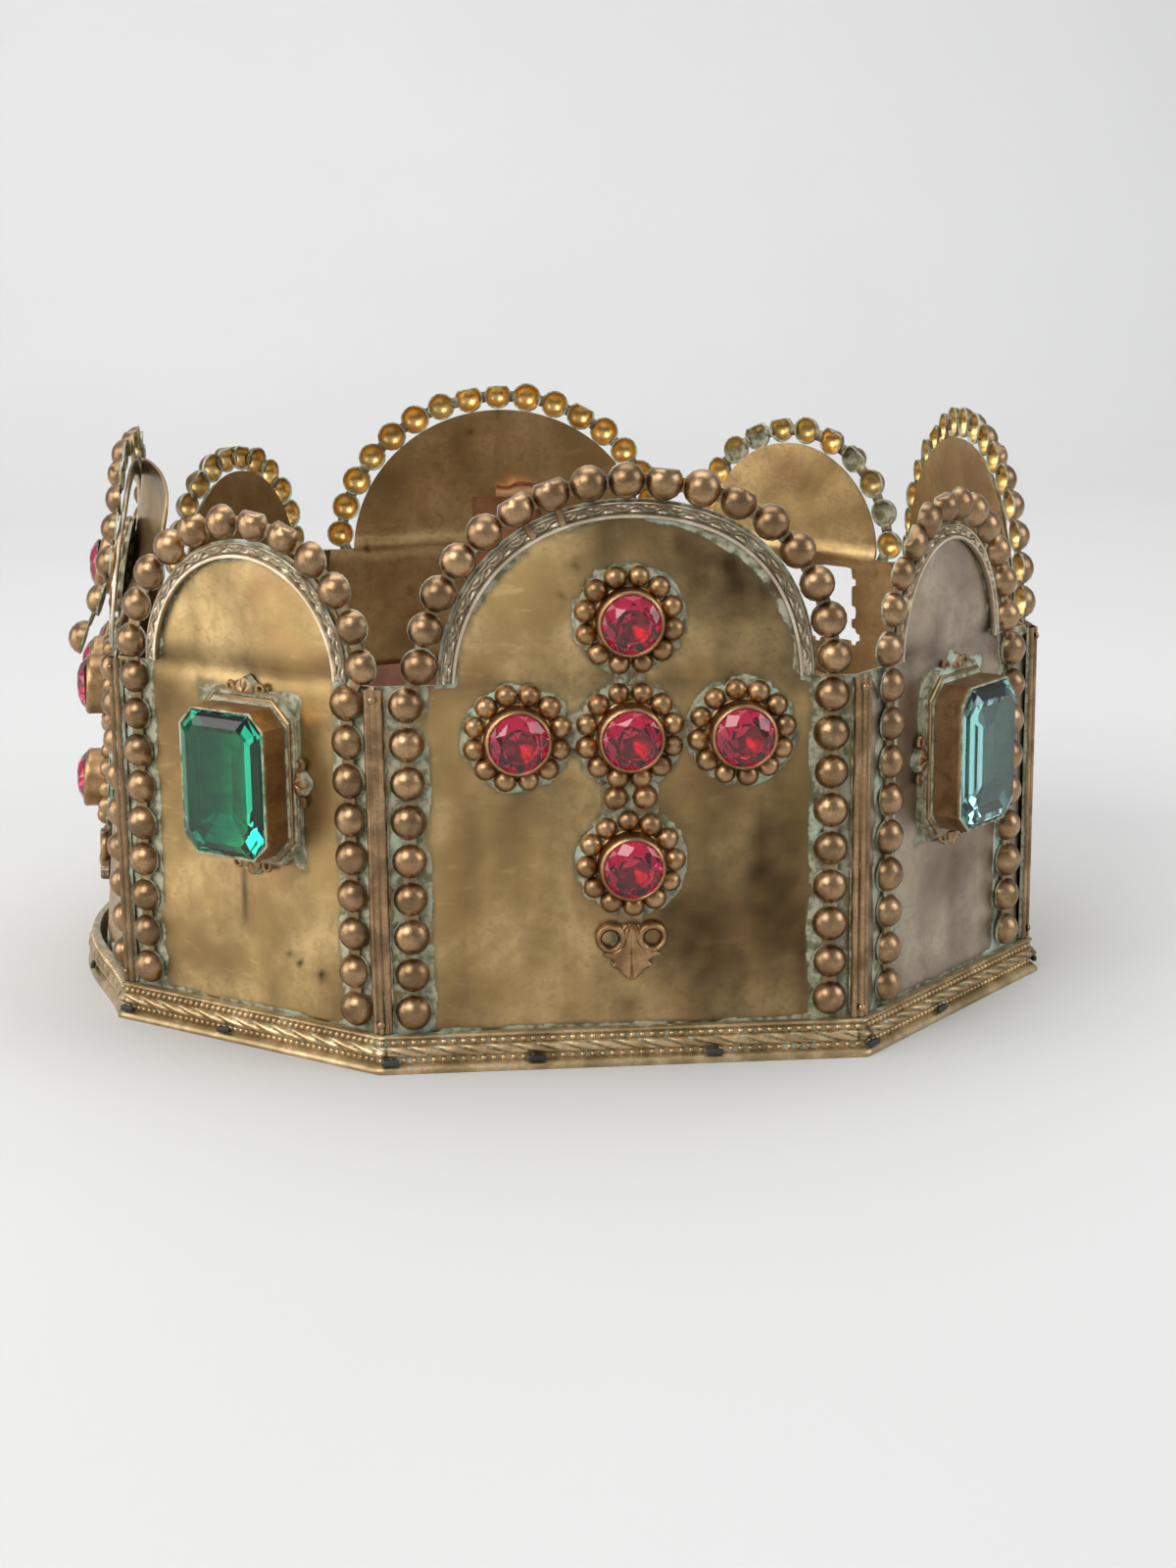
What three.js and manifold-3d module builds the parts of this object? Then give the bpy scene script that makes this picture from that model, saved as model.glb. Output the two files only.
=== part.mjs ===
// Theatrical crown: eight arched sheet-brass panels round an octagon, with bead borders,
// engraved arch bands, reeded corner posts, glass stones and a moulded base trim.
// Millimetres, +Z up. The front panel faces -Y.
import * as THREE from 'three';
import { ConvexGeometry } from 'three/addons/geometries/ConvexGeometry.js';
import { mergeVertices } from 'three/addons/utils/BufferGeometryUtils.js';
import Module from 'manifold-3d';

// Octagon of the sheets' outer faces
const WIDE = 115.5;
const NARROW = 82.3;
const WALL_TOP = 94;
const SHEET = 0.8;
const GAP = 0.3;
const SHEET_FOOT = 0.6;
const SHEET_END = 0.8;
const BENT_END = 2.3;
const SOLDER = 0.3;

// How far each corner stands off the regular octagon, now that the crown is bent
const CORNER_DRIFT = {
  FL: [1.4, 3.5],
  FR: [1.5, -2.4],
  RF: [2.0, -2.0],
  RB: [-5.2, -2.1],
  BR: [-1.2, 1.8],
  BL: [-1.1, 3.7],
  LB: [3.9, -1.1],
  LF: [-2.2, -1.0],
};

// Arches: centre height, bead centre line, and what lies inside it
const ARCH = {
  wide: { centre: 92, beads: 49.3, count: 17 },
  narrow: { centre: 94, beads: 36.5, count: 12 },
};
const SHEET_INSET = 4.3;
const BAND_INSET = 5.0;
const BAND_WIDTH = 3.7;
const BAND_DEPTH = 1.1;
const BAND_FOOT = WALL_TOP + 0.6;
const BAND_STEPS = 7;
const ARCH_STEPS = 11;

// Bead borders
const BEAD_ALONG = 4.4;
const BEAD_ACROSS = 4.3;
const BEAD_HEIGHT = 4.3;
const BEAD_CROWN = 0.46;
const NECK_HALF = 2.1;
const NECK_HEIGHT = 1.5;
const COLUMN_INSET = 7.5;
const BENT_COLUMN_INSET = 8.2;
const COLUMN_BEADS = 9;
const COLUMN_FIRST = 14.6;
const COLUMN_PITCH = 9.4;
const FIRST_ARCH_BEAD = 98.8;

// Corner posts of three ribs
const POST = { foot: 9.6, half: 2.6, ribs: 3, ribHalf: 0.51, ribRise: 0.74, back: 0.75 };
const POST_HEEL = 0.39;
const POST_FLANK = 0.2;
const POST_GROOVE = 0.15;

// Base trim, as steps out from the sheet at each height
const TRIM_BACK = GAP;
const TRIM_STEPS = [
  [3.9, 0], [3.9, 1.5], [2.5, 2.2], [3.4, 4.0], [3.4, 5.2], [2.4, 6.2], [3.0, 7.5], [2.4, 9.3],
];

// Leather head band inside the walls
const LEATHER_STAND_OFF = 2.2;
const LEATHER_THICK = 2.0;
const LEATHER_FOOT = 1.5;
const LEATHER_TOP = 57;

// Cross of five round stones, each in a tall cup with a ring of small beads
const CROSS_CENTRE = 81.2;
const CROSS_ARM = 26.6;
const CROSS_UP = 27.5;
const CROSS_DOWN = 31.2;
const RING_BEADS = 8;
const RING_BEAD_LINE = 10.7;
const RING_BEAD_HEIGHT = 3.3;
const RING_OUT = 13.1;
const RING_NOTCH = 11.7;
const RING_VALLEY = 1.5;
const CUP_SIDES = 8;
const CUP_OUT = 8.3;
const CUP_HEIGHT = 6.8;
const BACKING = 0.9;
const STONE_RADIUS = 7.0;
const STONE_RISE = 2.1;
const STONE_TABLE = 4.2;
const STONE_SIDES = 12;
const TABLE_SIDES = 6;
const LINK_BEAD = 2.8;
const LINK_BEAD_STEP = 3.4;
const LINK_LENGTH = 4.4;
const LINK_WIDTH = 5;
const LINK_RISE = 0.8;
const FLEUR_DROP = 15.2;
const LEAF_DEPTH = 2.9;
const LEAF_TIP = -1;
const LEAF_HALF = [
  [0, 13.8], [1.4, 13.4], [1.8, 9.6], [2.6, 6.4], [7.2, 6.0], [7.6, 4.6], [4.4, 3.4], [5.0, 1.8], [2.2, 1.1],
];
const CURL = { radius: 4.0, hole: 1.9, across: 5.0, up: 9.8, depth: 2.6 };

// Rectangular stone in a box, on a stepped plate with a small palmette on each side
const BLOCK_CENTRE = 68.5;
const BACK_BLOCK_CENTRE = 93.5;
const BLOCK_PLATE = { width: 31, height: 43, cut: 6, depth: 2.2 };
const BLOCK_BOX = { width: 26.6, height: 36.6, cut: 4.6, depth: 10.4 };
const BLOCK_WALL = 0.8;
const BLOCK_STONE = { width: 24.4, height: 34.4, cut: 4.2, sunk: 3.2, rise: 2.4, step: 3.4, taper: 1.5 };
const CUT_SHRINK = 0.4;
const PALMETTE = [[-4.5, 0], [4.5, 0], [3.4, 2.6], [0, 4.6], [-3.4, 2.6]];
const PALMETTE_DEPTH = 1.8;
const PALMETTE_ROOT = 0.5;
const BACK_WINDOW = { width: 22, height: 32 };
const WINDOW_FLOOR = 6.1;
const WINDOW_FLOOR_THICK = 0.6;

// Torn hole in the back right panel, where a setting is lost
const TORN = { left: -27, right: 13, bottom: 67, top: 90.6, teeth: 5, bite: 3.2 };

// The left panel bulges out at its foot and its lunette is pushed in on one side
const LEFT_BULGE = 12.5;
const LEFT_BULGE_END = 125;
const BULGE_FADE = 1.7;
const LEFT_LEAN = { depth: 3, rise: 47 };
const LEFT_PUSH = { depth: 9, from: -8, across: 36, clear: 4, rise: 20 };
const LEFT_TRIM_STEPS = 8;
const TRIM_SPARE = 0.6;
const BENT_ROWS = [0, 0.4, 0.66, 0.82, 1];

// The strand that tore free on the left arch: beads lost and loose, then how its end hangs
const LOOSE = { lost: 1, beads: 8, swing: 7.4, swingPower: 9, drop: 24, dropPower: 1.3 };
const LOOSE_INWARD = -8.2;
const LOOSE_STRETCH = 0.2;
const LOOSE_CLEAR = 2.6;
const LOOSE_RAMP = 6;

const SIDES = [
  {
    name: 'front', from: 'FL', to: 'FR', wide: true, gems: 'cross',
    archShift: 1.9, gemShift: 2.2, fullRight: 0.045, fullLeft: 0.02,
  },
  {
    name: 'front_right', from: 'FR', to: 'RF', gems: 'block',
    squeeze: 0.88, archSqueeze: 0.8, archShift: -2.6, gemShift: 0.6,
  },
  { name: 'right', from: 'RF', to: 'RB', wide: true, gems: 'cross' },
  { name: 'back_right', from: 'RB', to: 'BR', torn: true, archShift: -2, archRise: 1.5 },
  {
    name: 'back', from: 'BR', to: 'BL', wide: true, gems: 'block', window: true,
    archShift: 2.2, archSqueeze: 1.045,
  },
  {
    name: 'back_left', from: 'BL', to: 'LB', gems: 'block',
    squeeze: 0.9, archSqueeze: 0.78, archShift: 1.5, archRise: -3,
  },
  { name: 'left', from: 'LB', to: 'LF', wide: true, gems: 'cross', bent: true },
  { name: 'front_left', from: 'LF', to: 'FL', gems: 'block', archShift: 2.0, gemShift: 2.6 },
];

const COLOURS = {
  sheet: { color: 0x8a6a35, roughness: 0.42, metalness: 0.9 },
  bead: { color: 0x8b5f3c, roughness: 0.4, metalness: 0.9 },
  band: { color: 0x9a8a68, roughness: 0.5, metalness: 0.8 },
  trim: { color: 0x936a42, roughness: 0.42, metalness: 0.9 },
  setting: { color: 0x90613a, roughness: 0.4, metalness: 0.9 },
  ruby: { color: 0xb0122c, roughness: 0.05, metalness: 0 },
  emerald: { color: 0x0c6b45, roughness: 0.05, metalness: 0 },
  aqua: { color: 0x7fb4b0, roughness: 0.05, metalness: 0 },
  leather: { color: 0x6e3a25, roughness: 0.8, metalness: 0 },
};

const wasm = await Module();
wasm.setup();

function toSolid(geometry) {
  const bare = geometry.clone();
  bare.deleteAttribute('normal');
  bare.deleteAttribute('uv');
  const merged = mergeVertices(bare, 1e-4);
  return new wasm.Manifold(new wasm.Mesh({
    numProp: 3,
    vertProperties: Float32Array.from(merged.attributes.position.array),
    triVerts: Uint32Array.from(merged.index.array),
  }));
}

function toGeometry(solid) {
  const mesh = solid.getMesh();
  const geometry = new THREE.BufferGeometry();
  geometry.setAttribute('position', new THREE.BufferAttribute(mesh.vertProperties, 3));
  geometry.setIndex(new THREE.BufferAttribute(mesh.triVerts, 1));
  return geometry;
}

function joined(geometries) {
  return toGeometry(geometries.map(toSolid).reduce((sum, next) => sum.add(next)));
}

// Closed mesh from rings of points that all have the same count, the last joined to the first
function loopOfRings(rings) {
  const count = rings[0].length;
  const index = [];
  rings.forEach((ring, i) => {
    const next = (i + 1) % rings.length;
    for (let j = 0; j < count; j += 1) {
      const k = (j + 1) % count;
      const a = i * count + j;
      const b = i * count + k;
      const c = next * count + k;
      const d = next * count + j;
      index.push(a, b, c, a, c, d);
    }
  });
  const geometry = new THREE.BufferGeometry();
  geometry.setAttribute('position', new THREE.Float32BufferAttribute(rings.flat(2), 3));
  geometry.setIndex(index);
  return geometry;
}

function plate(points, depth, holes = []) {
  const shape = new THREE.Shape(points);
  holes.forEach((hole) => shape.holes.push(new THREE.Path(hole)));
  return new THREE.ExtrudeGeometry(shape, { depth, bevelEnabled: false });
}

function rectangle(width, height, x = 0, y = 0) {
  const w = width / 2;
  const h = height / 2;
  return [[-w, -h], [w, -h], [w, h], [-w, h]].map(([u, v]) => new THREE.Vector2(x + u, y + v));
}

function cutCornerRectangle({ width, height, cut }, y = 0, x = 0) {
  const w = width / 2;
  const h = height / 2;
  const points = [
    [w - cut, -h], [w, cut - h], [w, h - cut], [w - cut, h],
    [cut - w, h], [-w, h - cut], [-w, cut - h], [cut - w, -h],
  ];
  return points.map(([u, v]) => new THREE.Vector2(x + u, y + v));
}

function cornerPoint(name) {
  const half = WIDE / 2 + NARROW / Math.SQRT2;
  const side = WIDE / 2;
  const regular = {
    FL: [-side, -half], FR: [side, -half], RF: [half, -side], RB: [half, side],
    BR: [side, half], BL: [-side, half], LB: [-half, side], LF: [-half, -side],
  };
  const [x, y] = regular[name];
  const [dx, dy] = CORNER_DRIFT[name];
  return new THREE.Vector2(x + dx, y + dy);
}

// Sizes of one side: its length, its arch, and how far these are bent out of true
function sideSizes(side) {
  const from = cornerPoint(side.from);
  const to = cornerPoint(side.to);
  return {
    from,
    to,
    length: from.distanceTo(to),
    arch: side.wide ? ARCH.wide : ARCH.narrow,
    archShift: side.archShift ?? 0,
    gemShift: side.gemShift ?? 0,
    squeeze: side.squeeze ?? 1,
    archSqueeze: side.archSqueeze ?? 1,
    archRise: side.archRise ?? 0,
    fullRight: side.fullRight ?? 0,
    fullLeft: side.fullLeft ?? 0,
  };
}

// Frame of one side: X runs along it, Y is up and Z points out
function sideGroup(side) {
  const { from, to } = sideSizes(side);
  const along = to.clone().sub(from).normalize();
  const x = new THREE.Vector3(along.x, along.y, 0);
  const y = new THREE.Vector3(0, 0, 1);
  const z = new THREE.Vector3().crossVectors(x, y);
  const holder = new THREE.Group();
  holder.quaternion.setFromRotationMatrix(new THREE.Matrix4().makeBasis(x, y, z));
  holder.position.set((from.x + to.x) / 2, (from.y + to.y) / 2, 0);
  return holder;
}

function smooth(value) {
  const t = Math.min(1, Math.max(0, value));
  return t * t * (3 - 2 * t);
}

function bulge(side, u, height) {
  const across = Math.max(0, 1 - (2 * u / sideSizes(side).length) ** 2) ** BULGE_FADE;
  return LEFT_BULGE * across * Math.max(0, 1 - height / LEFT_BULGE_END);
}

function wallOffset(side, u, height) {
  if (!side.bent) return 0;
  return bulge(side, u, height) - LEFT_LEAN.depth * smooth((height - WALL_TOP) / LEFT_LEAN.rise);
}

function wallNormal(side, u, height) {
  const step = 0.5;
  const across = wallOffset(side, u + step, height) - wallOffset(side, u - step, height);
  const upward = wallOffset(side, u, height + step) - wallOffset(side, u, height - step);
  return new THREE.Vector3(-across / (2 * step), -upward / (2 * step), 1).normalize();
}

function lunettePush(side, u, height) {
  if (!side.bent) return 0;
  const { depth, from, across, clear, rise } = LEFT_PUSH;
  return -depth * smooth((u - from) / across) * smooth((height - WALL_TOP - clear) / rise);
}

function followWall(geometry, side, extra = () => 0) {
  const position = geometry.attributes.position;
  for (let i = 0; i < position.count; i += 1) {
    const u = position.getX(i);
    const height = position.getY(i);
    position.setZ(i, position.getZ(i) + wallOffset(side, u, height) + extra(u, height));
  }
  return geometry;
}

// Points of an arch from its right foot to its left foot, both at one height
function archPoints(side, radius, foot, steps) {
  const { arch, archShift, archSqueeze, archRise, fullRight, fullLeft } = sideSizes(side);
  const centre = arch.centre + archRise;
  const start = Math.asin((foot - centre) / radius);
  const points = [];
  for (let i = 0; i <= steps; i += 1) {
    const angle = start + (Math.PI - 2 * start) * i / steps;
    const fullness = angle < Math.PI / 2 ? fullRight : fullLeft;
    const full = radius * (1 + fullness * Math.sin(2 * angle) ** 2);
    const u = archShift + archSqueeze * full * Math.cos(angle);
    points.push(new THREE.Vector2(u, centre + full * Math.sin(angle)));
  }
  return points;
}

function tornHole() {
  const points = [new THREE.Vector2(TORN.left, TORN.top)];
  for (let i = 1; i < TORN.teeth; i += 1) {
    const y = TORN.top - (TORN.top - TORN.bottom) * i / TORN.teeth;
    points.push(new THREE.Vector2(TORN.left + (i % 2) * TORN.bite, y));
  }
  for (let i = 0; i <= TORN.teeth; i += 1) {
    const x = TORN.left + TORN.bite + (TORN.right - TORN.left - TORN.bite) * i / TORN.teeth;
    points.push(new THREE.Vector2(x, TORN.bottom + (i % 2) * TORN.bite / 2));
  }
  points.push(new THREE.Vector2(TORN.right, TORN.top));
  return points;
}

function panelHoles(side) {
  if (side.torn) return [tornHole()];
  if (side.window) return [rectangle(BACK_WINDOW.width, BACK_WINDOW.height, 0, BACK_BLOCK_CENTRE)];
  return [];
}

function flatPanel(side) {
  const { length, arch } = sideSizes(side);
  const half = length / 2 - SHEET_END;
  const outline = [
    new THREE.Vector2(-half, SHEET_FOOT),
    new THREE.Vector2(half, SHEET_FOOT),
    new THREE.Vector2(half, WALL_TOP),
    ...archPoints(side, arch.beads - SHEET_INSET, WALL_TOP, ARCH_STEPS),
    new THREE.Vector2(-half, WALL_TOP),
  ];
  return plate(outline, SHEET, panelHoles(side)).translate(0, 0, -SHEET);
}

// Faces of a thin sheet whose points go column by column and up each column, front before back
function sheetFaces(columns, rows) {
  const faces = [];
  const id = (column, row, back) => (column * rows + row) * 2 + back;
  const quad = (a, b, c, d) => faces.push(a, b, c, a, c, d);
  const last = rows - 1;
  const end = columns - 1;
  for (let i = 0; i < end; i += 1) {
    for (let j = 0; j < last; j += 1) {
      quad(id(i, j, 0), id(i + 1, j, 0), id(i + 1, j + 1, 0), id(i, j + 1, 0));
      quad(id(i, j, 1), id(i, j + 1, 1), id(i + 1, j + 1, 1), id(i + 1, j, 1));
    }
    quad(id(i, 0, 1), id(i + 1, 0, 1), id(i + 1, 0, 0), id(i, 0, 0));
    quad(id(i, last, 0), id(i + 1, last, 0), id(i + 1, last, 1), id(i, last, 1));
  }
  for (let j = 0; j < last; j += 1) {
    quad(id(0, j, 1), id(0, j, 0), id(0, j + 1, 0), id(0, j + 1, 1));
    quad(id(end, j, 0), id(end, j, 1), id(end, j + 1, 1), id(end, j + 1, 0));
  }
  return faces;
}

// A sheet of columns and rows, so that it can be bent
function bentPanel(side) {
  const { length, arch } = sideSizes(side);
  const half = length / 2 - BENT_END;
  const tops = [
    new THREE.Vector2(half, WALL_TOP),
    ...archPoints(side, arch.beads - SHEET_INSET, WALL_TOP, ARCH_STEPS),
    new THREE.Vector2(-half, WALL_TOP),
  ].reverse();
  const positions = tops.flatMap((top) => BENT_ROWS.flatMap((share) => {
    const height = SHEET_FOOT + (top.y - SHEET_FOOT) * share;
    return [top.x, height, 0, top.x, height, -SHEET];
  }));
  const geometry = new THREE.BufferGeometry();
  geometry.setAttribute('position', new THREE.Float32BufferAttribute(positions, 3));
  geometry.setIndex(sheetFaces(tops.length, BENT_ROWS.length));
  return followWall(geometry, side, (u, height) => lunettePush(side, u, height));
}

function archBand(side) {
  const { arch } = sideSizes(side);
  const outer = archPoints(side, arch.beads - BAND_INSET, BAND_FOOT, BAND_STEPS);
  const inner = archPoints(side, arch.beads - BAND_INSET - BAND_WIDTH, BAND_FOOT, BAND_STEPS);
  const lift = side.bent ? 2 * GAP : GAP;
  const band = plate([...outer, ...inner.reverse()], BAND_DEPTH).translate(0, 0, lift);
  return followWall(band, side);
}

// Half-round bead of six sides
function dome(radius, height) {
  const points = [];
  for (let i = 0; i < 6; i += 1) {
    points.push(new THREE.Vector3(...ringPoint(radius, i * Math.PI / 3, 0)));
  }
  for (let i = 0; i < 3; i += 1) {
    points.push(new THREE.Vector3(...ringPoint(radius / 2, (i + 0.25) * 2 * Math.PI / 3, height)));
  }
  return new ConvexGeometry(points);
}

function columnPoints(side, sign) {
  const { length, squeeze } = sideSizes(side);
  const inset = side.bent ? BENT_COLUMN_INSET : COLUMN_INSET;
  const u = sign * squeeze * (length / 2 - inset);
  const points = [];
  for (let i = 0; i < COLUMN_BEADS; i += 1) {
    points.push(new THREE.Vector3(u, COLUMN_FIRST + COLUMN_PITCH * i, 0));
  }
  return points;
}

function archBeadPoints(side) {
  const { arch } = sideSizes(side);
  const points = archPoints(side, arch.beads, FIRST_ARCH_BEAD, arch.count - 1);
  return points.map((point) => new THREE.Vector3(point.x, point.y, 0));
}

// The strand that tore free on the left arch drops and swings out towards its end,
// its necks pulled a little longer
function loosenStrand(points) {
  const kept = points.slice(LOOSE.lost);
  const pitch = kept[0].distanceTo(kept[1]);
  const swung = kept.map((point, i) => {
    const along = Math.max(0, 1 - i / (LOOSE.beads - 1));
    const out = LOOSE.swing * along ** LOOSE.swingPower + LOOSE_CLEAR * Math.min(1, LOOSE_RAMP * along);
    const sag = along ** LOOSE.dropPower;
    return point.clone().add(new THREE.Vector3(-LOOSE_INWARD * sag, -LOOSE.drop * sag, out));
  });
  for (let i = LOOSE.beads - 2; i >= 0; i -= 1) {
    const along = 1 - i / (LOOSE.beads - 1);
    const reach = pitch * (1 + LOOSE_STRETCH * along ** 2);
    const step = swung[i].clone().sub(swung[i + 1]).setLength(reach);
    kept[i].copy(kept[i + 1]).add(step);
  }
  return kept;
}

// Place and axes of one point on a row: along it, across it and up from the wall
function rowFrame(side, points, i, place) {
  const before = points[Math.max(0, i - 1)];
  const after = points[Math.min(points.length - 1, i + 1)];
  const along = after.clone().sub(before).normalize();
  const across = wallNormal(side, place.x, place.y).cross(along).normalize();
  const up = along.clone().cross(across);
  return new THREE.Matrix4().makeBasis(along, across, up).setPosition(place);
}

function neckSection(frame, shift) {
  const corners = [[shift, -NECK_HALF, 0], [shift, 0, NECK_HEIGHT], [shift, NECK_HALF, 0]];
  return corners.map((corner) => new THREE.Vector3(...corner).applyMatrix4(frame));
}

function beadPoints(frame) {
  const along = BEAD_CROWN * BEAD_ALONG;
  const across = BEAD_CROWN * BEAD_ACROSS;
  const corners = [
    [0, -BEAD_ACROSS, 0], [0, BEAD_ACROSS, 0],
    [-along, -across, BEAD_HEIGHT], [along, -across, BEAD_HEIGHT],
    [along, across, BEAD_HEIGHT], [-along, across, BEAD_HEIGHT],
  ];
  return corners.map((corner) => new THREE.Vector3(...corner).applyMatrix4(frame));
}

// Faces of one bead between the neck at its start (a, b, c) and the neck at its end (e, f, g)
function beadFaces([a, b, c], [e, f, g], [m, n, p, q, r, s]) {
  return [
    [p, q, r], [p, r, s], [b, p, s], [f, r, q],
    [a, m, p], [a, p, b], [m, q, p], [m, e, f], [m, f, q],
    [c, s, n], [c, b, s], [n, s, r], [n, f, g], [n, r, f],
    [a, e, m], [a, g, e], [a, n, g], [a, c, n],
  ];
}

// Row of beads joined by necks, as one closed body, following the wall
function strand(points, side) {
  points.forEach((point) => {
    point.z += wallOffset(side, point.x, point.y) + GAP;
  });
  const frames = points.map((point, i) => rowFrame(side, points, i, point));
  const necks = [neckSection(frames[0], -BEAD_ALONG)];
  for (let i = 0; i + 1 < points.length; i += 1) {
    const middle = points[i].clone().add(points[i + 1]).divideScalar(2);
    necks.push(neckSection(rowFrame(side, [points[i], points[i + 1]], 0, middle), 0));
  }
  necks.push(neckSection(frames.at(-1), BEAD_ALONG));
  const corners = [...necks, ...frames.map(beadPoints)].flat();
  const neckIds = (i) => [0, 1, 2].map((k) => 3 * i + k);
  const beadIds = (i) => [0, 1, 2, 3, 4, 5].map((k) => 3 * necks.length + 6 * i + k);
  const faces = [neckIds(0), neckIds(necks.length - 1).reverse()];
  points.forEach((_, i) => faces.push(...beadFaces(neckIds(i), neckIds(i + 1), beadIds(i))));
  const geometry = new THREE.BufferGeometry().setFromPoints(corners);
  geometry.setIndex(faces.flat());
  return geometry;
}

function beadBorder(side) {
  const left = columnPoints(side, -1).reverse();
  if (side.bent) return strand([...loosenStrand(archBeadPoints(side)), ...left], side);
  return strand([...columnPoints(side, 1), ...archBeadPoints(side), ...left], side);
}

// Past the break, the left panel keeps its last column soldered to the sheet
function bentPanelWithColumn(side) {
  const column = strand(columnPoints(side, 1), side).translate(0, 0, -GAP - SOLDER);
  return joined([bentPanel(side), column]);
}

// Corner post: ribs outside, and a back that fits the corner's angle
function postGeometry(turn) {
  const { half, ribs, ribHalf, ribRise } = POST;
  const slope = Math.tan(turn / 2);
  const face = (x) => POST.back - Math.abs(x) * slope;
  const pitch = 2 * half / ribs;
  const outline = [[half, face(half) - POST.back + POST_HEEL], [half, face(half) + POST_FLANK]];
  for (let i = 0; i < ribs; i += 1) {
    const x = half - pitch * (i + 0.5);
    const crest = face(x) + ribRise;
    outline.push([x + ribHalf, crest], [x - ribHalf, crest]);
    if (i + 1 < ribs) outline.push([x - pitch / 2, face(x - pitch / 2) + POST_GROOVE]);
  }
  outline.push([-half, face(half) + POST_FLANK], [-half, face(half) - POST.back + POST_HEEL]);
  outline.push([0, POST_HEEL]);
  const points = outline.map(([x, y]) => new THREE.Vector2(x, y));
  return plate(points, WALL_TOP - GAP - POST.foot).translate(0, 0, POST.foot);
}

function heading(side) {
  const { from, to } = sideSizes(side);
  return Math.atan2(to.y - from.y, to.x - from.x);
}

function cornerPost(before, after) {
  const turn = (heading(after) - heading(before) + 4 * Math.PI) % (2 * Math.PI);
  const corner = cornerPoint(after.from);
  const post = new THREE.Mesh(postGeometry(turn));
  post.position.set(corner.x, corner.y, 0);
  post.rotation.z = heading(before) + turn / 2 + Math.PI;
  return post;
}

// Closed path round the crown, with the direction that steps out of the wall at each point
function wallPath(bulged) {
  const stations = [];
  SIDES.forEach((side) => {
    const { from, to, length } = sideSizes(side);
    const steps = side.bent && bulged ? LEFT_TRIM_STEPS : 1;
    const along = to.clone().sub(from).normalize();
    const out = new THREE.Vector2(along.y, -along.x);
    for (let i = 0; i < steps; i += 1) {
      const u = length * (i / steps - 0.5);
      const offset = i > 0 ? bulge(side, u, 0) + TRIM_SPARE : 0;
      stations.push(from.clone().addScaledVector(along, u + length / 2).addScaledVector(out, offset));
    }
  });
  return stations.map((point, i) => {
    const before = stations[(i + stations.length - 1) % stations.length];
    const after = stations[(i + 1) % stations.length];
    const a = point.clone().sub(before).normalize();
    const b = after.clone().sub(point).normalize();
    const out = new THREE.Vector2(a.y + b.y, -(a.x + b.x)).normalize();
    const stretch = 1 / Math.sqrt((1 + a.dot(b)) / 2);
    return { point, out: out.multiplyScalar(stretch) };
  });
}

function ringAlong(path, profile) {
  return loopOfRings(path.map(({ point, out }) => profile.map(([step, height]) => [
    point.x + out.x * step, point.y + out.y * step, height,
  ])));
}

function baseTrim() {
  const back = [[TRIM_BACK, TRIM_STEPS.at(-1)[1]], [TRIM_BACK, 0]];
  return ringAlong(wallPath(true), [...back, ...TRIM_STEPS].reverse());
}

function headBand() {
  const near = -SHEET - LEATHER_STAND_OFF;
  const far = near - LEATHER_THICK;
  const profile = [[near, LEATHER_FOOT], [far, LEATHER_FOOT], [far, LEATHER_TOP], [near, LEATHER_TOP]];
  return ringAlong(wallPath(false), profile);
}

function ringPoint(radius, turn, height) {
  return [radius * Math.cos(turn), radius * Math.sin(turn), height];
}

// Ring of small beads round the cup of a stone, as one closed body
function beadedCup() {
  const crest = [];
  for (let i = 0; i < 2 * RING_BEADS; i += 1) {
    const turn = i * Math.PI / RING_BEADS;
    const bead = i % 2 === 0;
    crest.push(ringPoint(bead ? RING_BEAD_LINE : RING_NOTCH, turn, bead ? RING_BEAD_HEIGHT : RING_VALLEY));
  }
  const foot = Array.from({ length: RING_BEADS }, (_, i) => (
    ringPoint(RING_OUT, i * 2 * Math.PI / RING_BEADS, 0)));
  const cupRing = (radius, height) => Array.from({ length: CUP_SIDES }, (_, i) => (
    ringPoint(radius, i * 2 * Math.PI / CUP_SIDES, height)));
  const rings = [
    foot, crest,
    cupRing(CUP_OUT, RING_VALLEY), cupRing(CUP_OUT, CUP_HEIGHT),
  ];
  return closedStack(rings);
}

// Triangles between two rings, one of which has a whole multiple of the other's points
function ringFaces(low, high) {
  const wide = low.length >= high.length;
  const [many, few] = wide ? [low, high] : [high, low];
  const share = many.length / few.length;
  const back = Math.floor(share / 2);
  const faces = [];
  few.forEach((point, i) => {
    const next = few[(i + 1) % few.length];
    for (let j = 0; j < share; j += 1) {
      const k = (i * share + j - back + many.length) % many.length;
      faces.push([many[k], many[(k + 1) % many.length], point]);
    }
    faces.push([many[((i + 1) * share - back) % many.length], next, point]);
  });
  return wide ? faces : faces.map(([a, b, c]) => [a, c, b]);
}

// Closed mesh from a stack of rings, flat at both ends
function closedStack(rings) {
  let total = 0;
  const ids = rings.map((ring) => ring.map(() => {
    total += 1;
    return total - 1;
  }));
  const faces = ids.slice(1).flatMap((ring, i) => ringFaces(ids[i], ring));
  const [foot] = ids;
  const top = ids.at(-1);
  for (let i = 1; i + 1 < foot.length; i += 1) faces.push([foot[0], foot[i + 1], foot[i]]);
  for (let i = 1; i + 1 < top.length; i += 1) faces.push([top[0], top[i], top[i + 1]]);
  const geometry = new THREE.BufferGeometry();
  geometry.setAttribute('position', new THREE.Float32BufferAttribute(rings.flat(2), 3));
  geometry.setIndex(faces.flat());
  return geometry;
}

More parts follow.
